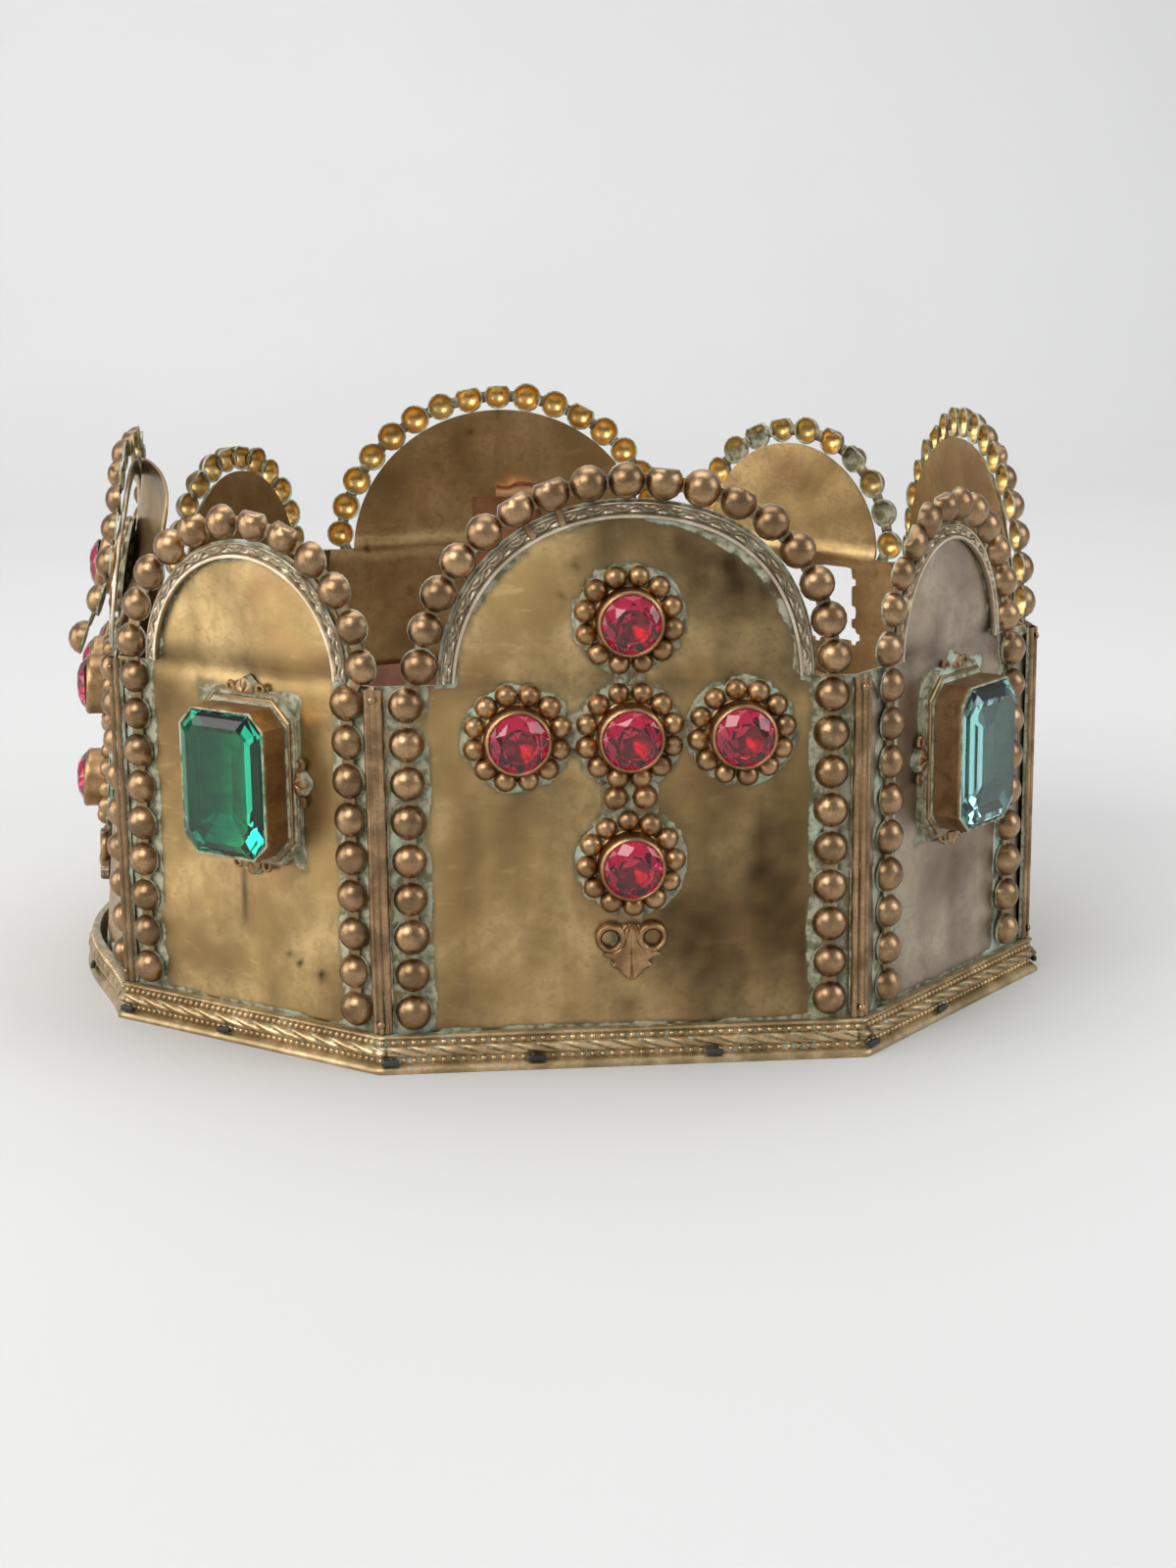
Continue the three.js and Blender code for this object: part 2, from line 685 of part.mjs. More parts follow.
function crossPlaces(side) {
  const { gemShift } = sideSizes(side);
  return [
    ['top', gemShift, CROSS_CENTRE + CROSS_UP],
    ['left', gemShift - CROSS_ARM, CROSS_CENTRE],
    ['centre', gemShift, CROSS_CENTRE],
    ['right', gemShift + CROSS_ARM, CROSS_CENTRE],
    ['bottom', gemShift, CROSS_CENTRE - CROSS_DOWN],
  ];
}

function circle(radius, steps) {
  return Array.from({ length: steps }, (_, i) => {
    const turn = i * 2 * Math.PI / steps;
    return new THREE.Vector2(radius * Math.cos(turn), radius * Math.sin(turn));
  });
}

// Leaf with two curled loops under the cross
function fleur(x, y) {
  const curl = (sign) => plate(circle(CURL.radius, 7), CURL.depth, [circle(CURL.hole, 4)])
    .translate(x + sign * CURL.across, y + CURL.up, 0);
  const left = LEAF_HALF.slice(1).reverse().map(([u, v]) => [-u, v]);
  const outline = [...LEAF_HALF, [0, LEAF_TIP], ...left].map(([u, v]) => new THREE.Vector2(u, v));
  return [curl(-1), curl(1), plate(outline, LEAF_DEPTH).translate(x, y, 0)];
}

function crossLift(side) {
  return side.bent ? 3 * GAP : GAP;
}

// Flat links that join the rings: centre, then width and height
function crossLinks(side, middle) {
  const { gemShift } = sideSizes(side);
  const bottom = CROSS_CENTRE - CROSS_DOWN;
  return [
    [gemShift - CROSS_ARM / 2, CROSS_CENTRE, LINK_LENGTH, LINK_WIDTH],
    [gemShift + CROSS_ARM / 2, CROSS_CENTRE, LINK_LENGTH, LINK_WIDTH],
    [gemShift, CROSS_CENTRE + CROSS_UP / 2, LINK_WIDTH, LINK_LENGTH],
    [gemShift, middle, 2 * LINK_WIDTH, CROSS_DOWN - 2 * RING_NOTCH + 1],
    [gemShift, bottom - RING_OUT, LINK_WIDTH, LINK_LENGTH],
  ];
}

function crossSetting(side) {
  const { gemShift } = sideSizes(side);
  const middle = CROSS_CENTRE - CROSS_DOWN / 2 + LINK_RISE;
  const parts = crossPlaces(side).map(([, u, height]) => beadedCup().translate(u, height, 0));
  crossLinks(side, middle).forEach(([u, height, width, length]) => {
    parts.push(plate(rectangle(width, length, u, height), BACKING));
  });
  for (const sign of [-1, 1]) {
    const bead = dome(LINK_BEAD, RING_BEAD_HEIGHT - BACKING / 2);
    parts.push(bead.translate(gemShift + sign * LINK_BEAD_STEP, middle, BACKING / 2));
  }
  parts.push(...fleur(gemShift, CROSS_CENTRE - CROSS_DOWN - RING_OUT - FLEUR_DROP));
  const setting = joined(parts).translate(0, 0, crossLift(side));
  return followWall(setting, side);
}

// Round stone seated on its cup, with a flat table
function roundStone(side, u, height) {
  const seat = CUP_HEIGHT + GAP;
  const points = [];
  for (let i = 0; i < STONE_SIDES; i += 1) {
    points.push(new THREE.Vector3(...ringPoint(STONE_RADIUS, i * 2 * Math.PI / STONE_SIDES, seat)));
  }
  for (let i = 0; i < TABLE_SIDES; i += 1) {
    const turn = i * 2 * Math.PI / TABLE_SIDES;
    points.push(new THREE.Vector3(...ringPoint(STONE_TABLE, turn, seat + STONE_RISE)));
  }
  const stone = new ConvexGeometry(points).translate(u, height, crossLift(side));
  return followWall(stone, side);
}

function blockCentre(side) {
  return side.window ? BACK_BLOCK_CENTRE : BLOCK_CENTRE;
}

function palmette() {
  return plate(PALMETTE.map(([u, v]) => new THREE.Vector2(u, v)), PALMETTE_DEPTH);
}

// Stepped plate and open box that hold a rectangular stone
function blockSetting(side) {
  const { gemShift } = sideSizes(side);
  const y = blockCentre(side);
  const inner = { width: BLOCK_BOX.width - 2 * BLOCK_WALL, height: BLOCK_BOX.height - 2 * BLOCK_WALL };
  const hollow = cutCornerRectangle({ ...inner, cut: BLOCK_BOX.cut - BLOCK_WALL / 2 }, y, gemShift);
  const foot = plate(cutCornerRectangle(BLOCK_PLATE, y, gemShift), BLOCK_PLATE.depth, [hollow]);
  const box = plate(cutCornerRectangle(BLOCK_BOX, y, gemShift), BLOCK_BOX.depth, [hollow]);
  const parts = [foot, box];
  const reach = [BLOCK_PLATE.height / 2, BLOCK_PLATE.width / 2];
  for (let i = 0; i < 4; i += 1) {
    const leaf = palmette().translate(0, reach[i % 2] - PALMETTE_ROOT, 0).rotateZ(i * Math.PI / 2);
    parts.push(leaf.translate(gemShift, y, 0));
  }
  if (side.window) {
    const floor = cutCornerRectangle({ ...inner, cut: BLOCK_BOX.cut - BLOCK_WALL / 2 }, y, gemShift);
    parts.push(plate(floor, WINDOW_FLOOR_THICK).translate(0, 0, WINDOW_FLOOR));
  }
  return joined(parts).translate(0, 0, GAP);
}

function blockStone(side) {
  const { gemShift } = sideSizes(side);
  const y = blockCentre(side);
  const { width, height, cut, sunk, rise, step, taper } = BLOCK_STONE;
  const layer = (shrink, depth) => {
    const size = { width: width - 2 * shrink, height: height - 2 * shrink, cut: cut - shrink * CUT_SHRINK };
    const outline = cutCornerRectangle(size, y, gemShift);
    return outline.map((point) => new THREE.Vector3(point.x, point.y, depth));
  };
  const rim = BLOCK_BOX.depth + GAP;
  return new ConvexGeometry([...layer(taper, rim - sunk), ...layer(0, rim), ...layer(step, rim + rise)]);
}

// Colour and place of each piece
function piece(name, look, source) {
  const mesh = source.isMesh ? source : new THREE.Mesh(source);
  mesh.name = name;
  mesh.material = new THREE.MeshStandardMaterial(COLOURS[look]);
  return mesh;
}

function addCross(holder, side) {
  holder.add(piece(`ruby_cross_${side.name}`, 'setting', crossSetting(side)));
  crossPlaces(side).forEach(([place, u, height]) => {
    holder.add(piece(`ruby_${side.name}_${place}`, 'ruby', roundStone(side, u, height)));
  });
}

function addBlock(holder, side) {
  const look = side.name === 'front_right' ? 'aqua' : 'emerald';
  holder.add(piece(`stone_setting_${side.name}`, 'setting', blockSetting(side)));
  holder.add(piece(`stone_${side.name}`, look, blockStone(side)));
}

function addSide(group, side) {
  const holder = sideGroup(side);
  holder.add(piece(`panel_${side.name}`, 'sheet', side.bent ? bentPanelWithColumn(side) : flatPanel(side)));
  holder.add(piece(`arch_band_${side.name}`, 'band', archBand(side)));
  holder.add(piece(`bead_border_${side.name}`, 'bead', beadBorder(side)));
  if (side.gems === 'cross') addCross(holder, side);
  if (side.gems === 'block') addBlock(holder, side);
  group.add(holder);
}

const crown = new THREE.Group();
crown.add(piece('base_trim', 'trim', baseTrim()));
crown.add(piece('head_band', 'leather', headBand()));
SIDES.forEach((side, i) => {
  addSide(crown, side);
  const before = SIDES[(i + SIDES.length - 1) % SIDES.length];
  const name = `corner_post_${before.name}_to_${side.name}`;
  crown.add(piece(name, 'bead', cornerPost(before, side)));
});

crown.updateMatrixWorld(true);
const box = new THREE.Box3().setFromObject(crown, true);
crown.position.set(-(box.min.x + box.max.x) / 2, -(box.min.y + box.max.y) / 2, -box.min.z);

export default crown;
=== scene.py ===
"""Theatrical crown: eight arched brass panels with bead borders, glass stones and a moulded trim.

Pieces are built in millimetres. Those of one side use that side's own axes: X along the side,
Y up and Z out of the wall. They are placed in the crown's frame, in metres, when they are shown.
"""

import logging
import math
import random
from dataclasses import dataclass, field
from enum import Enum
from typing import Callable, Iterable, Sequence

import bmesh
import bpy
from mathutils import Matrix, Vector, noise


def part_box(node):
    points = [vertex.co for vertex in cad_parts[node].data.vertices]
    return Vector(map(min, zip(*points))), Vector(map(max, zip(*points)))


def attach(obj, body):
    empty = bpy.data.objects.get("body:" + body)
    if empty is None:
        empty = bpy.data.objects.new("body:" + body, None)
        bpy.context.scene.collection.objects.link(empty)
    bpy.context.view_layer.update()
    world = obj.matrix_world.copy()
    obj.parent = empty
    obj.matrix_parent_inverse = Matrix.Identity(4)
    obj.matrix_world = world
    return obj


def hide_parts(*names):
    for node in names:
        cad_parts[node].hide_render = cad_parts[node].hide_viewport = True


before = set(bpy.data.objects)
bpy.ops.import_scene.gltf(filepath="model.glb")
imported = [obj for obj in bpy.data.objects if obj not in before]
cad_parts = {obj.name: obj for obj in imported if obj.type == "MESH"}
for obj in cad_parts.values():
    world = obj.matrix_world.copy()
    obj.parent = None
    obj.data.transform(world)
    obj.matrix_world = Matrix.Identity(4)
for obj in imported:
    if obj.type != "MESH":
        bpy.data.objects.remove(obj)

LOG = logging.getLogger("crown")
MM = 0.001

Colour = tuple[float, float, float]
Point = tuple[float, float, float]
Place = Callable[[float, float], Sequence[float]]

# Octagon and sheets
WIDE = 115.5
NARROW = 82.3
WALL_TOP = 94.0
SHEET = 0.8
SHEET_FOOT = 0.6
SHEET_INSET = 4.3
PANEL_PITCH = 1.7

# Arch bands
BAND_INSET = 5.0
BAND_WIDTH = 3.7
BAND_FOOT = 94.6
BAND_DEPTH = 1.1
SCROLL_PITCH = 6.6

# Bead borders
BEAD_RADIUS = 4.45
BEAD_HEIGHT = 4.2
BEAD_WALL = 0.45
BEAD_CLIP = 3.1
BEAD_SEAT = 4.6
BEAD_OUTSIDE = 0.97
BEAD_WITHIN = 0.93
COLUMN_INSET = 7.5
BENT_COLUMN_INSET = 8.2
COLUMN_BEADS = 9
COLUMN_FIRST = 14.6
COLUMN_PITCH = 9.4
FIRST_ARCH_BEAD = 98.8

# The strand that tore free on the left arch
LOOSE_LOST = 1
LOOSE_BEADS = 8
LOOSE_SWING = 7.4
SWING_POWER = 9
LOOSE_DROP = 24
DROP_POWER = 1.3
LOOSE_INWARD = -8.2
LOOSE_STRETCH = 0.2
LOOSE_CLEAR = 2.6
LOOSE_RAMP = 6.0

# Posts and trim
POST_FOOT = 9.6
POST_HALF = 2.6
POST_BACK = 0.75
TRIM_TOP = 9.3
TRIM_STATION = 0.6
TRIM_BEAD_PITCH = 1.8
ROPE_PITCH = 6.2

# Crosses and box settings
CROSS_CENTRE = 81.2
CROSS_ARM = 26.6
CROSS_UP = 27.5
CROSS_DOWN = 31.2
CUP_HEIGHT = 6.8
RING_LINE = 10.5
RING_OUT = 13.1
STONE_RADIUS = 7.0
LEAF_WIDE = 5.0
LEAF_TALL = 7.5
BLOCK_CENTRE = 68.5
BACK_BLOCK_CENTRE = 93.5
PLATE_HALF_WIDE = 15.5
PLATE_HALF_TALL = 21.5
WINDOW_HALF_WIDE = 11.0
WINDOW_HALF_TALL = 16.0

# Left panel
LEFT_BULGE = 12.5
LEFT_BULGE_END = 125.0
BULGE_FADE = 1.7
LEFT_LEAN = 3.0
LEAN_RISE = 47.0
LEFT_PUSH = 9.0


def smooth(value: float) -> float:
    """Eases a value from 0 to 1.

    Args:
        value: Any number; it is held between 0 and 1.

    Returns:
        The eased value.
    """
    t = min(1.0, max(0.0, value))
    return t * t * (3 - 2 * t)


def bell(value: float, width: float) -> float:
    """Height of a bell curve.

    Args:
        value: Distance from the middle.
        width: Distance at which the curve has fallen to about a third.

    Returns:
        1 in the middle, falling to 0.
    """
    return math.exp(-((value / width) ** 2))


def wander(x: float, y: float, seed: float, scale: float) -> float:
    """Smooth noise between about -1 and 1.

    Args:
        x: First coordinate in millimetres.
        y: Second coordinate in millimetres.
        seed: Tells one surface from another.
        scale: Size of the noise's features in millimetres.

    Returns:
        The noise at that point.
    """
    return noise.noise(Vector((x / scale, y / scale, 7.3 * seed)))


class Gems(Enum):
    """What a side carries."""

    NONE = "none"
    CROSS = "cross"
    BLOCK = "block"


@dataclass(frozen=True)
class Arch:
    """Arch of a side: height of its centre, radius of its bead line and number of beads."""

    centre: float
    beads: float
    count: int


WIDE_ARCH = Arch(92.0, 49.3, 17)
NARROW_ARCH = Arch(94.0, 36.5, 12)


def octagon() -> dict[str, Vector]:
    """Finds the corners of the bent octagon.

    Returns:
        Each corner by name, in millimetres, about the octagon's own centre.
    """
    side = WIDE / 2
    half = side + NARROW / math.sqrt(2)
    corners = {
        "FL": (-side + 1.4, -half + 3.5),
        "FR": (side + 1.5, -half - 2.4),
        "RF": (half + 2.0, -side - 2.0),
        "RB": (half - 5.2, side - 2.1),
        "BR": (side - 1.2, half + 1.8),
        "BL": (-side - 1.1, half + 3.7),
        "LB": (-half + 3.9, side - 1.1),
        "LF": (-half - 2.2, -side - 1.0),
    }
    return {name: Vector((x, y, 0)) for name, (x, y) in corners.items()}


@dataclass(frozen=True)
class Side:
    """One of the eight sides, with the axes that its pieces are built in."""

    name: str
    start: Vector
    end: Vector
    arch: Arch
    gems: Gems = Gems.NONE
    arch_shift: float = 0.0
    gem_shift: float = 0.0
    squeeze: float = 1.0
    arch_squeeze: float = 1.0
    arch_rise: float = 0.0
    full_right: float = 0.0
    full_left: float = 0.0
    bent: bool = False
    torn: bool = False
    window: bool = False
    seed: int = 0

    @property
    def length(self) -> float:
        """Distance between the side's corners."""
        return (self.end - self.start).length

    @property
    def along(self) -> Vector:
        """Direction from the left corner to the right one, seen from outside."""
        return (self.end - self.start).normalized()

    @property
    def out(self) -> Vector:
        """Direction out of the wall."""
        return Vector((self.along.y, -self.along.x, 0))

    @property
    def arch_centre(self) -> float:
        """Height of the arch's centre."""
        return self.arch.centre + self.arch_rise

    @property
    def block_centre(self) -> float:
        """Height of the box setting's centre."""
        return BACK_BLOCK_CENTRE if self.window else BLOCK_CENTRE

    def matrix(self) -> Matrix:
        """Turns the side's millimetres into the octagon's millimetres.

        Returns:
            The 4 by 4 matrix.
        """
        middle = (self.start + self.end) / 2
        up = Vector((0, 0, 1))
        turn = Matrix((self.along, up, self.out)).transposed().to_4x4()
        return Matrix.Translation(middle) @ turn

    def bulge(self, u: float, height: float) -> float:
        """How far the bent wall bulges out.

        Args:
            u: Distance along the side from its middle.
            height: Height above the foot.

        Returns:
            The bulge in millimetres.
        """
        if not self.bent:
            return 0.0
        across = max(0.0, 1 - (2 * u / self.length) ** 2) ** BULGE_FADE
        return LEFT_BULGE * across * max(0.0, 1 - height / LEFT_BULGE_END)

    def wall(self, u: float, height: float) -> float:
        """How far the wall stands out of its flat place.

        Args:
            u: Distance along the side from its middle.
            height: Height above the foot.

        Returns:
            The offset in millimetres.
        """
        if not self.bent:
            return 0.0
        return self.bulge(u, height) - LEFT_LEAN * smooth((height - WALL_TOP) / LEAN_RISE)

    def normal(self, u: float, height: float) -> Vector:
        """Normal of the wall at a point.

        Args:
            u: Distance along the side from its middle.
            height: Height above the foot.

        Returns:
            The unit normal in the side's axes.
        """
        across = self.wall(u + 0.5, height) - self.wall(u - 0.5, height)
        upward = self.wall(u, height + 0.5) - self.wall(u, height - 0.5)
        return Vector((-across, -upward, 1)).normalized()

    def arch_point(self, radius: float, foot: float, share: float) -> Vector:
        """Point on an arch that starts and ends at one height.

        Args:
            radius: The arch's radius.
            foot: Height of both its feet.
            share: 0 at the right foot and 1 at the left one.

        Returns:
            The point in the side's axes.
        """
        start = math.asin((foot - self.arch_centre) / radius)
        angle = start + (math.pi - 2 * start) * share
        fullness = self.full_right if angle < math.pi / 2 else self.full_left
        full = radius * (1 + fullness * math.sin(2 * angle) ** 2)
        u = self.arch_shift + self.arch_squeeze * full * math.cos(angle)
        return Vector((u, self.arch_centre + full * math.sin(angle), 0))

    def column(self, sign: int) -> list[Vector]:
        """Places of the beads in one column, from the foot up.

        Args:
            sign: -1 for the left column and 1 for the right one.

        Returns:
            The bead places in the side's axes.
        """
        inset = BENT_COLUMN_INSET if self.bent else COLUMN_INSET
        u = sign * self.squeeze * (self.length / 2 - inset)
        return [Vector((u, COLUMN_FIRST + COLUMN_PITCH * i, 0)) for i in range(COLUMN_BEADS)]

    def arch_beads(self) -> list[Vector]:
        """Places of the arch's beads, from its right foot to its left one.

        Returns:
            The bead places in the side's axes.
        """
        count = self.arch.count
        return [
            self.arch_point(self.arch.beads, FIRST_ARCH_BEAD, i / (count - 1)) for i in range(count)
        ]

    def loose_beads(self) -> list[Vector]:
        """Places of the arch's beads where the strand has torn free.

        Returns:
            The bead places in the side's axes, the hanging end first.
        """
        kept = self.arch_beads()[LOOSE_LOST:]
        pitch = (kept[0] - kept[1]).length
        swung = []
        for i, point in enumerate(kept):
            along = max(0.0, 1 - i / (LOOSE_BEADS - 1))
            out = LOOSE_SWING * along**SWING_POWER + LOOSE_CLEAR * min(1.0, LOOSE_RAMP * along)
            sag = along**DROP_POWER
            swung.append(point + Vector((-LOOSE_INWARD * sag, -LOOSE_DROP * sag, out)))
        for i in range(LOOSE_BEADS - 2, -1, -1):
            reach = pitch * (1 + LOOSE_STRETCH * (1 - i / (LOOSE_BEADS - 1)) ** 2)
            kept[i] = kept[i + 1] + (swung[i] - swung[i + 1]).normalized() * reach
        return kept

    def cross_places(self) -> dict[str, tuple[float, float]]:
        """Centres of the five stones of a cross.

        Returns:
            Each stone's place by name, as distance along the side and height.
        """
        u = self.gem_shift
        return {
            "top": (u, CROSS_CENTRE + CROSS_UP),
            "left": (u - CROSS_ARM, CROSS_CENTRE),
            "centre": (u, CROSS_CENTRE),
            "right": (u + CROSS_ARM, CROSS_CENTRE),
            "bottom": (u, CROSS_CENTRE - CROSS_DOWN),
        }


def make_sides() -> list[Side]:
    """Lays out the eight sides.

    Returns:
        The sides in order round the crown.
    """
    corner = octagon()
    rows = [
        (
            "front", "FL", "FR", WIDE_ARCH, Gems.CROSS,
            {"arch_shift": 1.9, "gem_shift": 2.2, "full_right": 0.045, "full_left": 0.02},
        ),
        (
            "front_right", "FR", "RF", NARROW_ARCH, Gems.BLOCK,
            {"squeeze": 0.88, "arch_squeeze": 0.8, "arch_shift": -2.6, "gem_shift": 0.6},
        ),
        ("right", "RF", "RB", WIDE_ARCH, Gems.CROSS, {}),
        (
            "back_right", "RB", "BR", NARROW_ARCH, Gems.NONE,
            {"torn": True, "arch_shift": -2.0, "arch_rise": 1.5},
        ),
        (
            "back", "BR", "BL", WIDE_ARCH, Gems.BLOCK,
            {"window": True, "arch_shift": 2.2, "arch_squeeze": 1.045},
        ),
        (
            "back_left", "BL", "LB", NARROW_ARCH, Gems.BLOCK,
            {"squeeze": 0.9, "arch_squeeze": 0.78, "arch_shift": 1.5, "arch_rise": -3.0},
        ),
        ("left", "LB", "LF", WIDE_ARCH, Gems.CROSS, {"bent": True}),
        ("front_left", "LF", "FL", NARROW_ARCH, Gems.BLOCK, {"arch_shift": 2.0, "gem_shift": 2.6}),
    ]
    return [
        Side(name, corner[a], corner[b], arch, gems, seed=i + 1, **more)
        for i, (name, a, b, arch, gems, more) in enumerate(rows)
    ]


class Shader:
    """Short way to write the node tree of one material."""

    def __init__(self, name: str) -> None:
        """Starts a material with a principled shader.

        Args:
            name: Name of the material.
        """
        self.material = bpy.data.materials.new(name)
        self.material.use_nodes = True
        self.tree = self.material.node_tree
        self.surface = self.tree.nodes["Principled BSDF"]
        self.place = self.tree.nodes.new("ShaderNodeTexCoord").outputs["Object"]

    def put(self, socket: bpy.types.NodeSocket, value: object) -> None:
        """Links a socket, or sets its plain value.

        Args:
            socket: The input socket.
            value: An output socket, a number or a colour.
        """
        if isinstance(value, bpy.types.NodeSocket):
            self.tree.links.new(value, socket)
        elif isinstance(value, tuple) and len(value) == 3:
            socket.default_value = (*value, 1.0)
        else:
            socket.default_value = value

    def noise(
        self, scale: float, detail: float = 4.0, warp: float = 0.0, stretch: Point | None = None
    ) -> bpy.types.NodeSocket:
        """Adds a noise texture.

        Args:
            scale: Number of features to a metre.
            detail: Octaves of finer noise.
            warp: How much the noise is distorted.
            stretch: Factors on the coordinates, for streaks.

        Returns:
            The noise's factor.
        """
        node = self.tree.nodes.new("ShaderNodeTexNoise")
        place = self.place
        if stretch:
            scaled = self.tree.nodes.new("ShaderNodeVectorMath")
            scaled.operation = "MULTIPLY"
            self.put(scaled.inputs[0], place)
            scaled.inputs[1].default_value = stretch
            place = scaled.outputs[0]
        self.put(node.inputs["Vector"], place)
        node.inputs["Scale"].default_value = scale
        node.inputs["Detail"].default_value = detail
        node.inputs["Distortion"].default_value = warp
        return node.outputs["Fac"]

    def span(self, value: bpy.types.NodeSocket, low: float, high: float) -> bpy.types.NodeSocket:
        """Stretches a range of a value to 0 to 1, smoothly.

        Args:
            value: The value.
            low: What becomes 0.
            high: What becomes 1.

        Returns:
            The stretched value.
        """
        node = self.tree.nodes.new("ShaderNodeMapRange")
        node.interpolation_type = "SMOOTHSTEP"
        self.put(node.inputs["Value"], value)
        node.inputs["From Min"].default_value = low
        node.inputs["From Max"].default_value = high
        return node.outputs["Result"]

    def math(self, operation: str, first: object, second: object) -> bpy.types.NodeSocket:
        """Adds a math node.

        Args:
            operation: Blender's name of the operation.
            first: Its first value.
            second: Its second value.

        Returns:
            The result.
        """
        node = self.tree.nodes.new("ShaderNodeMath")
        node.operation = operation
        self.put(node.inputs[0], first)
        self.put(node.inputs[1], second)
        return node.outputs[0]

    def mix(self, factor: object, first: object, second: object) -> bpy.types.NodeSocket:
        """Mixes two colours.

        Args:
            factor: Share of the second colour.
            first: The first colour.
            second: The second colour.

        Returns:
            The mixed colour.
        """
        node = self.tree.nodes.new("ShaderNodeMixRGB")
        self.put(node.inputs["Fac"], factor)
        self.put(node.inputs["Color1"], first)
        self.put(node.inputs["Color2"], second)
        return node.outputs["Color"]

    def over(
        self, tone: object, colour: Colour, mask: bpy.types.NodeSocket, share: float
    ) -> bpy.types.NodeSocket:
        """Lays a colour over a tone.

        Args:
            tone: The tone below.
            colour: The colour on top.
            mask: Where the colour lies, from 0 to 1.
            share: How much of it lies there.

        Returns:
            The new tone.
        """
        return self.mix(self.math("MULTIPLY", mask, share), tone, colour)

    def attribute(self, name: str) -> bpy.types.NodeSocket:
        """Reads a number that the mesh holds at each vertex.

        Args:
            name: Name of the attribute.

        Returns:
            The number.
        """
        node = self.tree.nodes.new("ShaderNodeAttribute")
        node.attribute_name = name
        return node.outputs["Fac"]

    def bump(self, height: bpy.types.NodeSocket, distance: float) -> None:
        """Adds fine roughness to the surface's normal.

        Args:
            height: The height.
            distance: Height of the roughness in metres.
        """
        node = self.tree.nodes.new("ShaderNodeBump")
        node.inputs["Distance"].default_value = distance
        self.put(node.inputs["Height"], height)
        self.put(self.surface.inputs["Normal"], node.outputs["Normal"])


